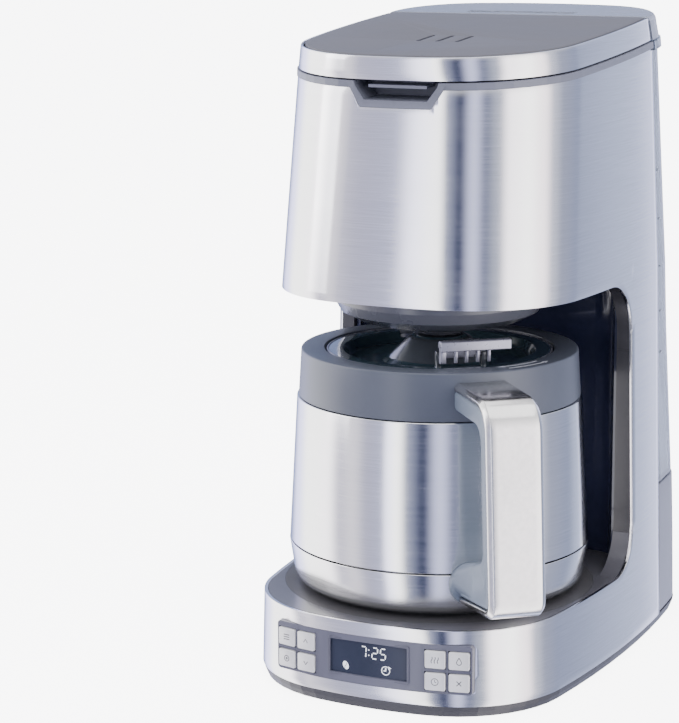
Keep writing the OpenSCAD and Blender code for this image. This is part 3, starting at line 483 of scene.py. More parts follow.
def rounded(corners, radii, steps=6):
    """Closed outline with each corner turned into an arc of its radius."""
    out = []
    n = len(corners)
    for i in range(n):
        r = radii[i] if isinstance(radii, (list, tuple)) else radii
        p = Vector(corners[i])
        a = Vector(corners[i - 1]) - p
        b = Vector(corners[(i + 1) % n]) - p
        if r <= 0:
            out.append(tuple(p))
            continue
        half = a.angle(b) / 2
        reach = min(r / math.tan(half), 0.48 * a.length, 0.48 * b.length)
        r = reach * math.tan(half)
        start = p + a.normalized() * reach
        end = p + b.normalized() * reach
        centre = p + (a.normalized() + b.normalized()).normalized() * (r / math.sin(half))
        s, e = start - centre, end - centre
        sweep = s.angle_signed(e) if s.length and e.length else 0
        for k in range(steps + 1):
            turn = Matrix.Rotation(-sweep * k / steps, 2)
            out.append(tuple(centre + turn @ s))
    return out


def rectangle(half_w, low, high):
    """Corners of a rectangle that is centred on the first axis."""
    return [(-half_w, low), (half_w, low), (half_w, high), (-half_w, high)]


CARAFE_Y = (mm_box("carafe_shell")[0].y + mm_box("carafe_shell")[1].y) / 2


def lathe(profile, segments=176, closed=True):
    """Turns a profile of (radius, height) round the carafe's axis."""
    points, faces = [], []
    m = len(profile)
    for s in range(segments):
        a = 2 * math.pi * s / segments
        points += [(r * math.cos(a), CARAFE_Y + r * math.sin(a), z) for r, z in profile]
    for s in range(segments):
        t = (s + 1) % segments
        for i in range(m if closed else m - 1):
            j = (i + 1) % m
            faces.append((s * m + i, t * m + i, t * m + j, s * m + j))
    return points, faces


# ---------------------------------------------------------------- the housing's outline

FRONT_R, CORNER_R, SIDE_R, REAR_CORNER_R, REAR_R = 227.0, 66.0, 800.0, 48.0, 230.0
WIDEST_Y = 24.0
BASE_W = 98.0
DECK_Z, HEAD_Z = 49.0, 219.5
HALF_W = [(0, BASE_W), (DECK_Z, BASE_W - 1.6), (HEAD_Z, BASE_W - 5.8), (345, BASE_W - 12), (380, BASE_W - 13.4)]
FRONT_Y = [(0, -146.5), (DECK_Z, -146.5), (HEAD_Z, -123.2), (339, -109.2), (380, -105)]
REAR_Y = [(0, 148.8), (90, 144), (180, 132.5), (265, 127.5), (380, 121.5)]
COLUMN_Y, SEAM_Y, TANK_Y = 16.0, 66.4, 67.4
JOINT_Z, JOINT_Y, JOINT_SLOPE = 336.2, -109.0, math.radians(4.15)
BAY_TOP_R, BAY_LOW_R = 32.0, 28.0


def lookup(z, table):
    if z <= table[0][0]:
        return table[0][1]
    for (z0, v0), (z1, v1) in zip(table, table[1:]):
        if z <= z1:
            return v0 + (v1 - v0) * (z - z0) / (z1 - z0)
    return table[-1][1]


def meet(a, ra, b, rb, side):
    d = (b - a).length
    h = (ra * ra - rb * rb + d * d) / (2 * d)
    u = (b - a) / d
    return a + h * u + side * math.sqrt(ra * ra - h * h) * Vector((-u.y, u.x))


def heading(a, b):
    return math.atan2(b.y - a.y, b.x - a.x)


class Outline:
    """Right half of the housing's plan at one size: front arc, corner, side, rear corner, rear arc."""

    def __init__(self, half_w, front, rear, inset=0.0):
        self.inset = inset
        self.f = Vector((0, front + FRONT_R))
        self.s = Vector((half_w - SIDE_R, WIDEST_Y))
        self.r = Vector((0, rear - REAR_R))
        self.fc = meet(self.f, FRONT_R - CORNER_R, self.s, SIDE_R - CORNER_R, 1)
        self.rc = meet(self.r, REAR_R - REAR_CORNER_R, self.s, SIDE_R - REAR_CORNER_R, -1)
        self.af, self.as_ = heading(self.f, self.fc), heading(self.s, self.fc)
        self.at, self.ar = heading(self.s, self.rc), heading(self.r, self.rc)

    def on(self, centre, radius, angle):
        r = radius - self.inset
        return centre + r * Vector((math.cos(angle), math.sin(angle)))

    def front(self, t):
        return self.on(self.f, FRONT_R, -math.pi / 2 + (self.af + math.pi / 2) * t)

    def corner(self, t):
        return self.on(self.fc, CORNER_R, self.af + (self.as_ - self.af) * t)

    def side_at(self, y):
        r = SIDE_R - self.inset
        return Vector((self.s.x + math.sqrt(r * r - (y - self.s.y) ** 2), y))

    def side_start(self):
        return self.on(self.fc, CORNER_R, self.as_).y

    def side_end(self):
        return self.on(self.rc, REAR_CORNER_R, self.at).y

    def rear_corner(self, t):
        return self.on(self.rc, REAR_CORNER_R, self.at + (self.ar - self.at) * t)

    def rear(self, t):
        return self.on(self.r, REAR_R, self.ar + (math.pi / 2 - self.ar) * t)


def housing_outline(z, inset=0.0):
    return Outline(lookup(z, HALF_W), lookup(z, FRONT_Y), lookup(z, REAR_Y), inset)


def front_half(outline, y_end, n_front=22, n_corner=30, n_side=26):
    """Points from the middle of the front to the side at y_end."""
    out = [outline.front(i / n_front) for i in range(n_front)]
    out += [outline.corner(i / n_corner) for i in range(n_corner)]
    start = outline.side_start()
    out += [outline.side_at(start + (y_end - start) * i / n_side) for i in range(n_side + 1)]
    return out


def rear_half(outline, y_start, n_side=10, n_corner=28, n_rear=18):
    """Points from the side at y_start to the middle of the rear."""
    end = outline.side_end()
    out = [outline.side_at(y_start + (end - y_start) * i / n_side) for i in range(n_side)]
    out += [outline.rear_corner(i / n_corner) for i in range(n_corner)]
    out += [outline.rear(i / n_rear) for i in range(n_rear + 1)]
    return out


def mirrored(half):
    """Whole run from the left end to the right end, through the middle point half[0]."""
    return [Vector((-p.x, p.y)) for p in reversed(half[1:])] + list(half)


def joint(x, y, z):
    """From the tilted frame of the lid joint to the object's frame."""
    dy = y - JOINT_Y
    return (x, JOINT_Y + dy * math.cos(JOINT_SLOPE) - z * math.sin(JOINT_SLOPE),
            JOINT_Z + dy * math.sin(JOINT_SLOPE) + z * math.cos(JOINT_SLOPE))


def stack(rings, cap_low=True, cap_high=True, closed=True):
    """Skin through rings of equal length, lowest first."""
    n = len(rings[0])
    points = [p for ring in rings for p in ring]
    faces = []
    for k in range(len(rings) - 1):
        for i in range(n if closed else n - 1):
            j = (i + 1) % n
            faces.append((k * n + i, k * n + j, (k + 1) * n + j, (k + 1) * n + i))
    if cap_low:
        faces.append(tuple(range(n))[::-1])
    if cap_high:
        base = (len(rings) - 1) * n
        faces.append(tuple(range(base, base + n)))
    return points, faces


# ---------------------------------------------------------------- stainless wrap

WRAP_LOW = 6.6
WRAP_T = 2.0
# How far the wrap's upper edge stays under the joint with the lid.
WRAP_GAP = 1.4
# The cut-out for the control panel.
PANEL_HALF_W, PANEL_LOW, PANEL_HIGH = 58.5, 14, 41.6


def wrap_top(y):
    return JOINT_Z - WRAP_GAP / math.cos(JOINT_SLOPE) + (y - JOINT_Y) * math.tan(JOINT_SLOPE)


def wrap_columns():
    """Each column is how to find its point in an outline."""
    cols = [lambda o, t=i / 22: o.front(t) for i in range(22)]
    cols += [lambda o, t=i / 32: o.corner(t) for i in range(32)]
    corner_y = COLUMN_Y - BAY_TOP_R
    cols += [lambda o, t=i / 12: o.side_at(o.side_start() + (corner_y - o.side_start()) * t) for i in range(12)]
    ys = {corner_y + BAY_TOP_R * math.sin(math.radians(a)) for a in range(0, 91, 6)}
    ys |= {COLUMN_Y - BAY_LOW_R + BAY_LOW_R * math.sin(math.radians(a)) for a in range(3, 90, 7)}
    ys = sorted(ys)
    kept = [y for i, y in enumerate(ys) if i == len(ys) - 1 or ys[i + 1] - y > 0.05]
    cols += [lambda o, y=y: o.side_at(y) for y in kept]
    at_column = len(cols) - 1
    cols += [lambda o, y=COLUMN_Y + (SEAM_Y - COLUMN_Y) * i / 10: o.side_at(y) for i in range(1, 11)]
    return cols, at_column


def bay_low(y):
    start = COLUMN_Y - BAY_LOW_R
    if y <= start:
        return DECK_Z
    return DECK_Z + BAY_LOW_R - math.sqrt(max(0, BAY_LOW_R ** 2 - (y - start) ** 2))


def bay_high(y):
    start = COLUMN_Y - BAY_TOP_R
    if y <= start:
        return HEAD_Z
    return HEAD_Z - BAY_TOP_R + math.sqrt(max(0, BAY_TOP_R ** 2 - (y - start) ** 2))


def build_wrap():
    cols, at_column = wrap_columns()
    rows_low, rows_mid, rows_high = 12, 14, 26
    points, index = [], {}

    def vertex(side, c, key, z):
        if c == 0:
            side = 1
        if (side, c, key) not in index:
            p = cols[c](housing_outline(z))
            index[side, c, key] = len(points)
            points.append((side * p.x, p.y, z))
        return index[side, c, key]

    def column_y(c, z):
        return cols[c](housing_outline(z)).y

    def heights(c):
        low = bay_low(min(column_y(c, DECK_Z), COLUMN_Y)) if c <= at_column else DECK_Z + BAY_LOW_R
        high = bay_high(min(column_y(c, HEAD_Z), COLUMN_Y)) if c <= at_column else HEAD_Z - BAY_TOP_R
        top = wrap_top(column_y(c, JOINT_Z))
        out = {("low", i): WRAP_LOW + (low - WRAP_LOW) * i / rows_low for i in range(rows_low + 1)}
        out.update({("high", i): high + (top - high) * i / rows_high for i in range(rows_high + 1)})
        if c >= at_column:
            out.update({("mid", i): low + (high - low) * i / rows_mid for i in range(1, rows_mid)})
        return out

    z_at = [heights(c) for c in range(len(cols))]
    runs = [[("low", i) for i in range(rows_low + 1)], [("high", i) for i in range(rows_high + 1)]]
    full = [("low", i) for i in range(rows_low + 1)] + [("mid", i) for i in range(1, rows_mid)]
    full += [("high", i) for i in range(rows_high + 1)]
    faces = []
    for side in (1, -1):
        for c in range(len(cols) - 1):
            for run in ([full] if c >= at_column else runs):
                for a, b in zip(run, run[1:]):
                    quad = (vertex(side, c, a, z_at[c][a]), vertex(side, c + 1, a, z_at[c + 1][a]),
                            vertex(side, c + 1, b, z_at[c + 1][b]), vertex(side, c, b, z_at[c][b]))
                    faces.append(quad if side > 0 else quad[::-1])
    wrap = piece("body_wrap", points, faces, STEEL, "housing", "stainless_wrap", ["stainless_wrap"])
    thicken(wrap, WRAP_T, even=True)
    panel = rounded(rectangle(PANEL_HALF_W, PANEL_LOW, PANEL_HIGH), 2.0)
    cut(wrap, *prism(panel, -165, -100, lambda u, v, w: (u, w, v)))
    notch = [(-30, 6), (-28, 0), (-21.2, -11.4), (21.2, -11.4), (28, 0), (30, 6)]
    cut(wrap, *prism(rounded(notch, [0, 0, 2.2, 2.2, 0, 0]), -150, -70, lambda u, v, w: joint(u, w, v)))
    soften(wrap, 0.35, 2, 38)
    return wrap


build_wrap()

# ---------------------------------------------------------------- lid of the head

LID_REAR = 65.6
# Rear of the plan that the lid's front is cut from.
LID_PLAN_REAR = 125.0
LID_TOP_W, LID_TOP_FRONT = 83.8, -109.4
BAND_T = 1.5
EAR_X = (-58, -42, 42, 58)


def joint_ring(half_w, front, inset, z, y_end):
    run = mirrored(front_half(Outline(half_w, front, LID_PLAN_REAR, inset), y_end))
    return [joint(p.x, p.y, z) for p in run]


def build_lid():
    band_rings = [joint_ring(hw, fy, 0, z, LID_REAR) for hw, fy, z in
                  ((85.6, -109.8, 3.4), (84.9, -109.65, 8), (84.2, -109.5, 13))]
    band_rings += [joint_ring(LID_TOP_W, LID_TOP_FRONT, inset, z, LID_REAR) for inset, z in
                   ((0, 15.3), (0.3, 15.75), (0.9, 15.9))]
    points, faces = stack(band_rings, False, False, closed=False)
    band = piece("lid_steel_band", points, faces, STEEL, "head_lid", "lid_band", ["lid_band"])
    thicken(band, BAND_T)
    soften(band, 0.2, 2, 50)

    rings = [joint_ring(LID_TOP_W, LID_TOP_FRONT, inset, z, LID_REAR) for inset, z in
             ((2.6, 13.5), (2.6, 15.5), (2.8, 16.0), (3.3, 16.3), (4.4, 16.4))]
    points, faces = stack(rings, True, True)
    panel = piece("lid_top_panel", points, faces, LID_GREY, "head_lid", "lid_panel", ["lid_panel"])
    for x in (-11.6, 0, 11.6):
        slot = rounded([(x - 1.3, -52.5), (x + 1.3, -52.5), (x + 1.3, -28), (x - 1.3, -28)], 1.25)
        cut(panel, *prism(slot, 5, 20, lambda u, v, w: joint(u, v, w)))
    for x in EAR_X:
        ear = [(x - 2.4, 59.6), (x + 2.4, 59.6), (x + 2.4, 67), (x - 2.4, 67)]
        cut(panel, *prism(ear, 11.3, 15.8, lambda u, v, w: joint(u, v, w)))
    soften(panel, 0.25, 2, 50)


build_lid()

# ---------------------------------------------------------------- carafe

CARAFE_R = mm_box("carafe_base_band")[1].x
COLLAR_TOP = mm_box("carafe_collar")[1].z
HANDLE_ANGLE = math.radians(40)
RIB_T = 1.6
LEVER_PIN_R, LEVER_PIN_RHO, LEVER_PIN_Z = 1.3, 44, 188.5


def at_handle(t, rho, z, angle=HANDLE_ANGLE):
    """Spot on the carafe: t along the tangent, rho out from the axis towards the handle, height z."""
    out = Vector((math.sin(angle), -math.cos(angle)))
    along = Vector((math.cos(angle), math.sin(angle)))
    p = out * rho + along * t
    return (p.x, CARAFE_Y + p.y, z)


def build_carafe():
    r = CARAFE_R
    shell = rounded([(r - 0.25, 75.75), (80.95, 158.1), (67.7, 158.1), (67.7, 157), (79.6, 157), (r - 1.8, 75.75)],
                    [0.35, 0.5, 0, 0, 0.5, 0.35], 3)
    body = piece("carafe_body", *lathe(shell), CARAFE_STEEL, "carafe", "carafe_shell", ["carafe_shell"])
    low = rounded([(0.5, DECK_Z + 0.2), (75, DECK_Z + 0.2), (82.6, 53.4), (r, 74.9), (r - 1.8, 74.9), (81, 56),
                   (74, DECK_Z + 1.8), (0.5, DECK_Z + 1.8)], [0, 9, 7, 0.4, 0.4, 6, 6, 0], 8)
    piece("carafe_lower_body", *lathe(low), CARAFE_STEEL, "carafe", "carafe_base_band", ["carafe_base_band"])
    collar = rounded([(80.0, 158.5), (78.4, COLLAR_TOP), (65.1, COLLAR_TOP), (60.4, 166.2), (60.4, 162), (66, 159.2),
                      (66, 158.5)], [0.5, 1.1, 0.7, 0.5, 0.5, 0, 0], 5)
    ring = piece("carafe_collar_ring", *lathe(collar), COLLAR_GREY, "carafe", "carafe_collar", ["carafe_collar"])
    back = rounded(rectangle(9, -9, 9), 8.9, 8)
    cut(ring, *prism(back, -60, -90, lambda u, v, w: at_handle(u, w, COLLAR_TOP + 4 + v)))
    soften(ring, 0.3, 2, 45)


def turn_mark(name, rho, start, end):
    """A raised guide line on the collar, an arc with a small head, beside the handle."""
    points, faces = [], []
    n, half = 18, 0.35
    low, high = COLLAR_TOP - 0.02, COLLAR_TOP + 0.12
    for i in range(n + 1):
        a = HANDLE_ANGLE + math.radians(start + (end - start) * i / n)
        for rr, z in ((rho - half, low), (rho + half, low), (rho + half, high), (rho - half, high)):
            points.append(at_handle(0, rr, z, a))
    for i in range(n):
        for k in range(4):
            j = (k + 1) % 4
            faces.append((i * 4 + k, (i + 1) * 4 + k, (i + 1) * 4 + j, i * 4 + j))
    faces += [(0, 1, 2, 3), (n * 4 + 3, n * 4 + 2, n * 4 + 1, n * 4)]
    base = len(points)
    tip = HANDLE_ANGLE + math.radians(end + (3.2 if end > start else -3.2))
    foot = HANDLE_ANGLE + math.radians(end)
    for z in (low, high):
        points += [at_handle(0, rho - 1.5, z, foot), at_handle(0, rho + 1.5, z, foot), at_handle(0, rho, z, tip)]
    faces += [(base, base + 2, base + 1), (base + 3, base + 4, base + 5)]
    faces += [(base + i, base + (i + 1) % 3, base + 3 + (i + 1) % 3, base + 3 + i) for i in range(3)]
    piece(name, points, faces, GASKET, "carafe", "lid_gasket")


def build_carafe_lid():
    lid = rounded([(0.3, 192.4), (14.2, 192.4), (18, 190), (28.5, 179.4), (33, 177.2), (51.5, 178.2), (54.5, 184.2),
                   (63.0, 184.2), (63.2, 181.4), (57.4, 166.5), (52, 162), (50, 160.5), (48.6, 160.5), (48.6, 163),
                   (54.4, 168), (57.8, 176), (50, 175.4), (31, 174.6), (26, 176.8), (16, 187.4), (13.6, 189.6),
                   (0.3, 189.6)],
                  [0, 2.2, 3, 4, 3, 4, 1.2, 0.8, 0, 0, 0, 0, 0, 0, 0, 0, 0, 0, 0, 0, 0, 0], 6)
    cover = piece("carafe_lid_insert", *lathe(lid), INSERT_DARK, "carafe_cover", "carafe_lid", ["carafe_lid"])
    mouth = rounded(rectangle(8, -2, 12), 1.5)
    cut(cover, *prism(mouth, -46, -66, lambda u, v, w: at_handle(u, w, 182.6 + v)))
    edge = rounded([(62.9, 183.2), (64.0, 183.2), (64.0, 184.3), (62.9, 184.3)], 0.35, 3)
    piece("carafe_lid_edge_ring", *lathe(edge), LEVER_SILVER, "carafe_cover", "carafe_lid")
    lens = rounded([(0.6, 192.44), (13.4, 192.44), (17.6, 190.6), (28.2, 179.9), (27.4, 179.2), (17, 189.8),
                    (13.2, 191.9), (0.6, 191.9)], [0, 2, 3, 0, 0, 0, 0, 0], 6)
    piece("carafe_lid_dome", *lathe(lens), DOME_GREY, "carafe_cover", "carafe_lid")
    for i, t in enumerate((-15.6, 10.2)):
        ear = rounded([(-46.4, 176.5), (-41.6, 176.5), (-41.6, 190.9), (-46.4, 190.9)], [0, 0, 2.35, 2.35], 8)
        points, faces = prism(ear, t, t + 2.4, lambda u, v, w: at_handle(w, -u, v))
        cheek = piece(f"lever_ear_{i}", points, faces, DOME_GREY, "carafe_cover", "carafe_lid")
        soften(cheek, 0.3, 2)


def lever_part(name, outline, start, end, replaces=()):
    """Prism of an outline in the (rho, z) plane, from start to end across the handle's direction."""
    points, faces = prism(outline, start, end, lambda u, v, w: at_handle(w, u, v))
    return piece(f"pour_lever_{name}", points, faces, LEVER_SILVER, "lever", "pour_lever", replaces)


def build_lever():
    """Rocker with a tall front lip, a leg at one end and ribs under it."""
    bar = rounded([(62.3, 193.6), (62.3, 199.3), (57.6, 199.3), (56.2, 197.6), (56.2, 195.5), (59.6, 195.5),
                   (60.0, 193.6)], [0.7, 1.1, 1.6, 0.6, 0.3, 0.3, 0.3], 4)
    soften(lever_part("bar", bar, -17.9, 21.9, ["pour_lever"]), 0.8, 3, 50)
    plate = rounded([(45.6, 195.4), (57.2, 195.4), (57.2, 197.3), (45.6, 197.3)], 0.5, 3)
    soften(lever_part("plate", plate, -12.2, 8.8), 0.5, 3, 50)
    leg = rounded([(57.4, 186.8), (60.8, 186.8), (61.2, 196), (57.4, 196)], [0.6, 1.2, 0.4, 0.4], 3)
    soften(lever_part("leg", leg, -17.8, -14.6), 0.6)
    rib = rounded([(57.6, 186.8), (60.0, 186.8), (60.2, 195.8), (57.6, 195.8)], 0.6, 2)
    for i, t in enumerate((-8.7, -2.6, 3.7, 10.1)):
        soften(lever_part(f"rib_{i}", rib, t - RIB_T / 2, t + RIB_T / 2), 0.25, 2)
    turns = [math.radians(a) for a in range(0, 360, 15)]
    pin = [(LEVER_PIN_RHO + LEVER_PIN_R * math.cos(a), LEVER_PIN_Z + LEVER_PIN_R * math.sin(a)) for a in turns]
    lever_part("pin", pin, -15.5, 12.5)
    web = rounded([(43.9, 187.3), (47.1, 187.3), (47.1, 195.6), (45.4, 195.6), (45.4, 188.5), (43.9, 188.5)], 0.3, 2)
    lever_part("web", web, -12.4, 9)


build_carafe()
for k, (rho, start, end) in enumerate(((73.4, 14, 34), (68.4, 34, 14))):
    turn_mark(f"turn_mark_{k}", rho, start, end)
build_carafe_lid()
build_lever()

# ---------------------------------------------------------------- handle

# Top and bottom heights, the strip's outer radius at the top, how far it leans out per mm down, how far the
# bottom drops per mm out, the strip's thickness and where its lower end stops.
HANDLE_HIGH, HANDLE_LOW = 180.0, 66.5
HANDLE_OUT = 134.5
LEAN, DROP = 0.083, 0.124
STRIP_T, STRIP_END = 4.2, 88.3
# Half widths across the handle.
STRIP_W, GRIP_W = 15.5, 15.1


def wall_r(z):
    """Radius just outside the carafe's wall."""
    if z < 74.4:
        return 83.4 + (z - 55.6) * 0.128 + 0.15
    return 85.95 - (z - 75) * 0.06 if z < 158 else 80.2 - (z - 158.3) * 0.054


def on_wall(t, rho, z):
    """Spot across the handle; a corner inside the wall is brought out to it."""
    return at_handle(t, max(rho, math.sqrt(wall_r(z) ** 2 - t * t)), z)


def lean_x(z):
    return HANDLE_OUT + LEAN * (HANDLE_HIGH - z)


def drop_z(rho):
    return HANDLE_LOW + DROP * (rho - lean_x(HANDLE_LOW))


def outer_line(inset):
    """Corners of the handle's outside, inset towards the fingers: top, outer top, outer bottom, bottom."""
    low = HANDLE_LOW + inset * 0.97
    return [(70, HANDLE_HIGH - inset), (lean_x(HANDLE_HIGH - inset) - inset, HANDLE_HIGH - inset),
            (lean_x(low) - inset, low), (STRIP_END, drop_z(STRIP_END) + inset)]


def across(rings, name, material, slot, edge):
    """Skin through profiles of (rho, z), each at its own place across the handle."""
    n = len(rings[0][1])
    points = [on_wall(t, rho, z) for t, profile in rings for rho, z in profile]
    faces = [tuple(range(n)), tuple(range((len(rings) - 1) * n, len(rings) * n))[::-1]]
    for k in range(len(rings) - 1):
        faces += [(k * n + i, (k + 1) * n + i, (k + 1) * n + (i + 1) % n, k * n + (i + 1) % n) for i in range(n)]
    part = piece(name, points, faces, material, "carafe", slot, [slot], 40)
    soften(part, edge, 3, 30, smooth_angle=40)


def build_handle():
    def strip(chamfer):
        inner = outer_line(STRIP_T)
        return rounded(outer_line(chamfer) + inner[::-1],
                       [0, 18 - chamfer, 10 - chamfer, 0, 0, 10 - STRIP_T, 18 - STRIP_T, 0], 10)

    def grip(shrink):
        back = outer_line(STRIP_T + 0.2 + 0.7 * shrink)
        out = lean_x(HANDLE_HIGH) - 14.9 + shrink
        hollow = [(86.2, 79.7 - shrink), (out + LEAN * 86, 94.6 - shrink), (out + LEAN * 15.4, 164.6 + shrink),
                  (70, 164.6 + shrink)]
        return rounded(back + hollow, [0, 13.6, 5.6, 0, 0, 8 + shrink, 10 + shrink, 0], 10)

    chamfer = 2.3
    full = STRIP_W - chamfer
    cross = [(-STRIP_W, strip(chamfer))]
    cross += [(full * k / 4, strip(0)) for k in range(-4, 5)]
    cross += [(STRIP_W, strip(chamfer))]
    across(cross, "handle_outer_strip", STRIP_SATIN, "handle_strip", 0.5)
    cross = [(-GRIP_W, grip(2.4)), (-GRIP_W + 0.7, grip(0.8)), (-GRIP_W + 2.4, grip(0))]
    cross += [((GRIP_W - 2.4) * k / 3, grip(0)) for k in range(-2, 3)]
    cross += [(GRIP_W - 2.4, grip(0)), (GRIP_W - 0.7, grip(0.8)), (GRIP_W, grip(2.4))]
    across(cross, "handle_inner_grip", GRIP_BLUE, "handle_grip", 0.3)


# Sections of the foot, from the carafe outwards: (radius, half width, bottom, top, corner radius).
FOOT_SECTIONS = [
    (0, 19.7, 58.2, 81.8, 11.7), (87.6, 19.4, 58.9, 82.5, 11.2), (88.4, 19.2, 64.3, 82.8, 9),
    (92, 18.4, 64.7, 84, 8.8), (96, 17.6, 65.2, 85.1, 8), (101, 16.6, 65.8, 86.6, 6.6),
    (106, 15.8, 66.4, 88.0, 5), (112, 15.0, 67.2, 89.2, 3.6),
]


def build_grip_foot():
    """Rounded foot of the grip on the carafe's base band."""
    rings = []
    for rho, half_w, low, high, r in FOOT_SECTIONS:
        face = rounded(rectangle(half_w, low, high), r, 9)
        rings.append([on_wall(t, rho, z) for t, z in face])
    points, faces = stack(rings)
    foot = piece("handle_grip_foot", points, faces, GRIP_BLUE, "carafe", "handle_grip", (), 48)
    soften(foot, 0.5, 3, 50, smooth_angle=48)


build_handle()
build_grip_foot()

# ---------------------------------------------------------------- control panel

PANEL_AXIS_Y = lookup(0, FRONT_Y) + FRONT_R
ROW_Z = (33.1, 20.7)
OUTER_A, INNER_A = math.asin(51.6 / FRONT_R), math.asin(38.6 / FRONT_R)
# Each button's angle round the front arc and its row.
BUTTON_AT = dict(zip(BUTTONS, [(-OUTER_A, 0), (-INNER_A, 0), (-OUTER_A, 1), (-INNER_A, 1),
                               (INNER_A, 0), (OUTER_A, 0), (INNER_A, 1), (OUTER_A, 1)]))
BUTTON_W, BUTTON_H = 11.4, 9.9


def on_panel(angle, u, v, out):
    """Spot on the front arc: u along the tangent at angle, height v, out from the arc's radius."""
    r = FRONT_R + out
    return (r * math.sin(angle) + u * math.cos(angle), PANEL_AXIS_Y - r * math.cos(angle) + u * math.sin(angle), v)


def stroke(path, width):
    """Outline of a line drawn through points, with square ends."""
    left, right = [], []
    for i, p in enumerate(path):
        a = Vector(path[max(0, i - 1)])
        b = Vector(path[min(len(path) - 1, i + 1)])
        d = (b - a).normalized()
        normal = Vector((-d.y, d.x)) * width / 2
        left.append(tuple(Vector(p) + normal))
        right.append(tuple(Vector(p) - normal))
    return left + right[::-1]


def circle_path(cx, cy, r, a0=0, a1=360, n=24):
    return [(cx + r * math.cos(math.radians(a0 + (a1 - a0) * i / n)),
             cy + r * math.sin(math.radians(a0 + (a1 - a0) * i / n))) for i in range(n + 1)]


ICONS = {
    "option_button": [stroke([(-2, y), (2, y)], 0.5) for y in (-1.3, 0, 1.3)],
    "up_button": [stroke([(-1.3, -0.8), (0, 1.1), (1.3, -0.8)], 0.5)],
    "down_button": [stroke([(-1.3, 0.8), (0, -1.1), (1.3, 0.8)], 0.5)],
    "set_button": [stroke(circle_path(0, 0, 1.6), 0.45), stroke(circle_path(0, 0, 0.45, n=12), 0.5)],
    "aroma_button": [stroke([(x + 0.35 * math.sin(1.7 * y), y) for y in (-1.9, -1.2, -0.5, 0.2, 0.9, 1.6)], 0.45)
                     for x in (-1.7, 0, 1.7)],
    "brew_button": [stroke([(0, 2.1), (-1.1, 0.3)] + circle_path(0, -0.6, 1.35, 140, 400, 14)
                           + [(1.1, 0.3), (0, 2.1)], 0.42)],
    "auto_start_button": [stroke(circle_path(0, 0, 1.9), 0.4), stroke([(0, 1.2), (0, 0), (0.9, -0.4)], 0.4)],
    "cancel_button": [stroke([(-1.3, -1.3), (1.3, 1.3)], 0.5), stroke([(-1.3, 1.3), (1.3, -1.3)], 0.5)],
}


def build_button(name):
    angle, row = BUTTON_AT[name]
    cz = ROW_Z[row]
    w, h = BUTTON_W / 2, BUTTON_H / 2
    face = rounded(rectangle(w, -h, h), 1.0, 5)
    rings = []
    for shrink, out in ((0, -2.4), (0, 0.25), (0.12, 0.5), (0.4, 0.68)):
        k, m = 1 - shrink / w, 1 - shrink / h
        rings.append([on_panel(angle, u * k, cz + v * m, out) for u, v in face])
    points, faces = stack(rings)
    piece(name.replace("button", "cap"), points, faces, CAP_SILVER, name, name, [name])
    for i, outline in enumerate(ICONS[name]):
        points, faces = prism(outline, 0.6, 0.7, lambda u, v, out: on_panel(angle, u, cz + v, out))
        piece(f"{name}_mark_{i}", points, faces, LEGEND_GREY, name, name)


DISPLAY_OUT = -1.1
SEGMENTS = {"a": ((0.15, 1), (0.85, 1)), "b": ((1, 0.92), (1, 0.56)), "c": ((1, 0.44), (1, 0.08)),
            "d": ((0.15, 0), (0.85, 0)), "e": ((0, 0.44), (0, 0.08)), "f": ((0, 0.92), (0, 0.56)),
            "g": ((0.15, 0.5), (0.85, 0.5))}
LIT = {"7": "abc", "2": "abged", "5": "afgcd"}


def on_display(u, v, out):
    a = u / (FRONT_R + DISPLAY_OUT)
    return on_panel(a, 0, v, DISPLAY_OUT + out)


def display_mark(name, outline):
    points, faces = prism(outline, 0.01, 0.06, on_display)
    piece(name, points, faces, LCD_WHITE, "housing", "display_window")


def build_display():
    x, low, width, height, lean = -4.6, 29.3, 3.1, 6.2, 0.5
    count = 0
    for mark in "7:25":
        if mark == ":":
            for v in (1.6, 4.6):
                display_mark(f"clock_dot_{count}", stroke([(x - 0.1, low + v), (x + 0.55, low + v)], 0.6))
                count += 1
            x += 2.0
            continue
        for letter in LIT[mark]:
            (u0, v0), (u1, v1) = SEGMENTS[letter]
            path = [(x + u * width + v * lean, low + v * height) for u, v in ((u0, v0), (u1, v1))]
            display_mark(f"clock_bar_{count}", stroke(path, 0.62))
            count += 1
        x += width + 1.7
    bean = [(-13.6 + 1.75 * math.cos(a) - 0.5 * math.sin(a), 23.3 + 2.3 * math.sin(a))
            for a in [math.radians(12 * i) for i in range(30)]]
    display_mark("bean_mark", bean)
    seam = stroke([(-14.2, 21.6), (-14.1, 22.7), (-13.2, 23.7), (-13.0, 24.9)], 0.34)
    points, faces = prism(seam, 0.05, 0.09, on_display)
    piece("bean_seam", points, faces, LCD_NAVY, "housing", "display_window")
    display_mark("timer_ring", stroke(circle_path(10.4, 23.4, 2.35, 60, 392), 0.45))
    display_mark("timer_hands", stroke([(10.4, 25), (10.4, 23.3), (9.2, 23.3)], 0.75))
    display_mark("timer_arrow", [(12.0, 26.0), (13.7, 25.0), (11.9, 24.3)])


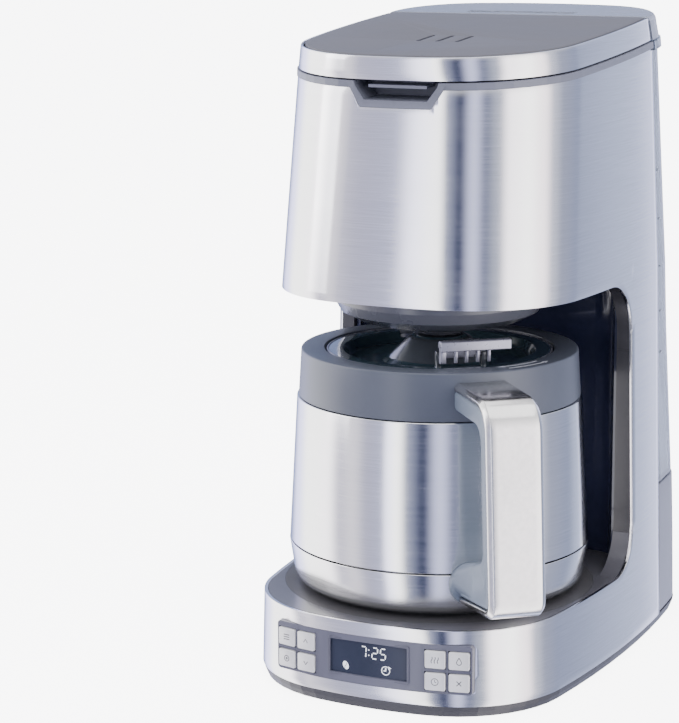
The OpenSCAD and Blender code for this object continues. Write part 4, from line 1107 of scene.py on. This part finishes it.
def build_display_frame():
    """Raised border round the clock's window."""
    outer = rounded(rectangle(24.4, 17.5, 39.1), 1.4, 5)
    inner = rounded(rectangle(23.0, 18.9, 37.7), 0.5, 5)

    def ring(loop, out):
        return [on_panel(u / FRONT_R, 0, v, out) for u, v in loop]

    points, faces = stack([ring(outer, -0.3), ring(outer, 0.3), ring(inner, 0.3), ring(inner, -1.0)], False, False)
    part = piece("display_frame", points, faces, BEZEL_GREY, "housing", "control_bezel")
    soften(part, 0.2, 2, 40)


for button in BUTTONS:
    build_button(button)
build_display()
build_display_frame()

# ---------------------------------------------------------------- water tank, its lid and the rear housing

TANK_TICKS = (276, 247, 219, 192, 167)


def housing_ring(z, inset, y_front):
    half = rear_half(housing_outline(z, inset), y_front)
    run = half + [Vector((-p.x, p.y)) for p in reversed(half[:-1])]
    return [(p.x, p.y, z) for p in run]


def build_rear():
    levels = [6.8, 7.4, 49, 70, 85.8, 86.4, 86.6]
    insets = [1.4, 0.7, 0, 0, 0, 0.3, 1.2]
    points, faces = stack([housing_ring(z, i, TANK_Y) for z, i in zip(levels, insets)])
    shell = piece("rear_base_housing", points, faces, HOUSING_GREY, "housing", "rear_housing", ["rear_housing"])
    points, faces = stack([housing_ring(z, 2.6, TANK_Y + 0.1) for z in (0, 49, 84)])
    cut(shell, points, faces)
    soften(shell, 0.5, 3, 45)


def build_tick(z, side):
    o = housing_outline(z, 0.55)
    points = []
    for y in (TANK_Y + 4, TANK_Y + 9):
        p = o.side_at(y)
        for dz in (-0.5, 0.5):
            points += [(side * p.x, y, z + dz), (side * (p.x + 0.35), y, z + dz)]
    faces = [(0, 1, 3, 2), (4, 6, 7, 5), (0, 4, 5, 1), (2, 3, 7, 6), (1, 5, 7, 3), (0, 2, 6, 4)]
    hand = "right" if side > 0 else "left"
    tick = piece(f"level_tick_{hand}_{z}", points, faces, TANK_LID_GREY, "tank", "water_tank")
    soften(tick, 0.15, 2)


build_rear()
for tick_z in TANK_TICKS:
    for tick_side in (1, -1):
        build_tick(tick_z, tick_side)

# ---------------------------------------------------------------- finishes on the CAD nodes

for name, node in nodes.items():
    node.data.materials.clear()
    node.data.materials.append(NODE_MATERIALS[name])
    node.data.shade_smooth()
    node.data.set_sharp_from_angle(angle=math.radians(SMOOTH_ANGLE))
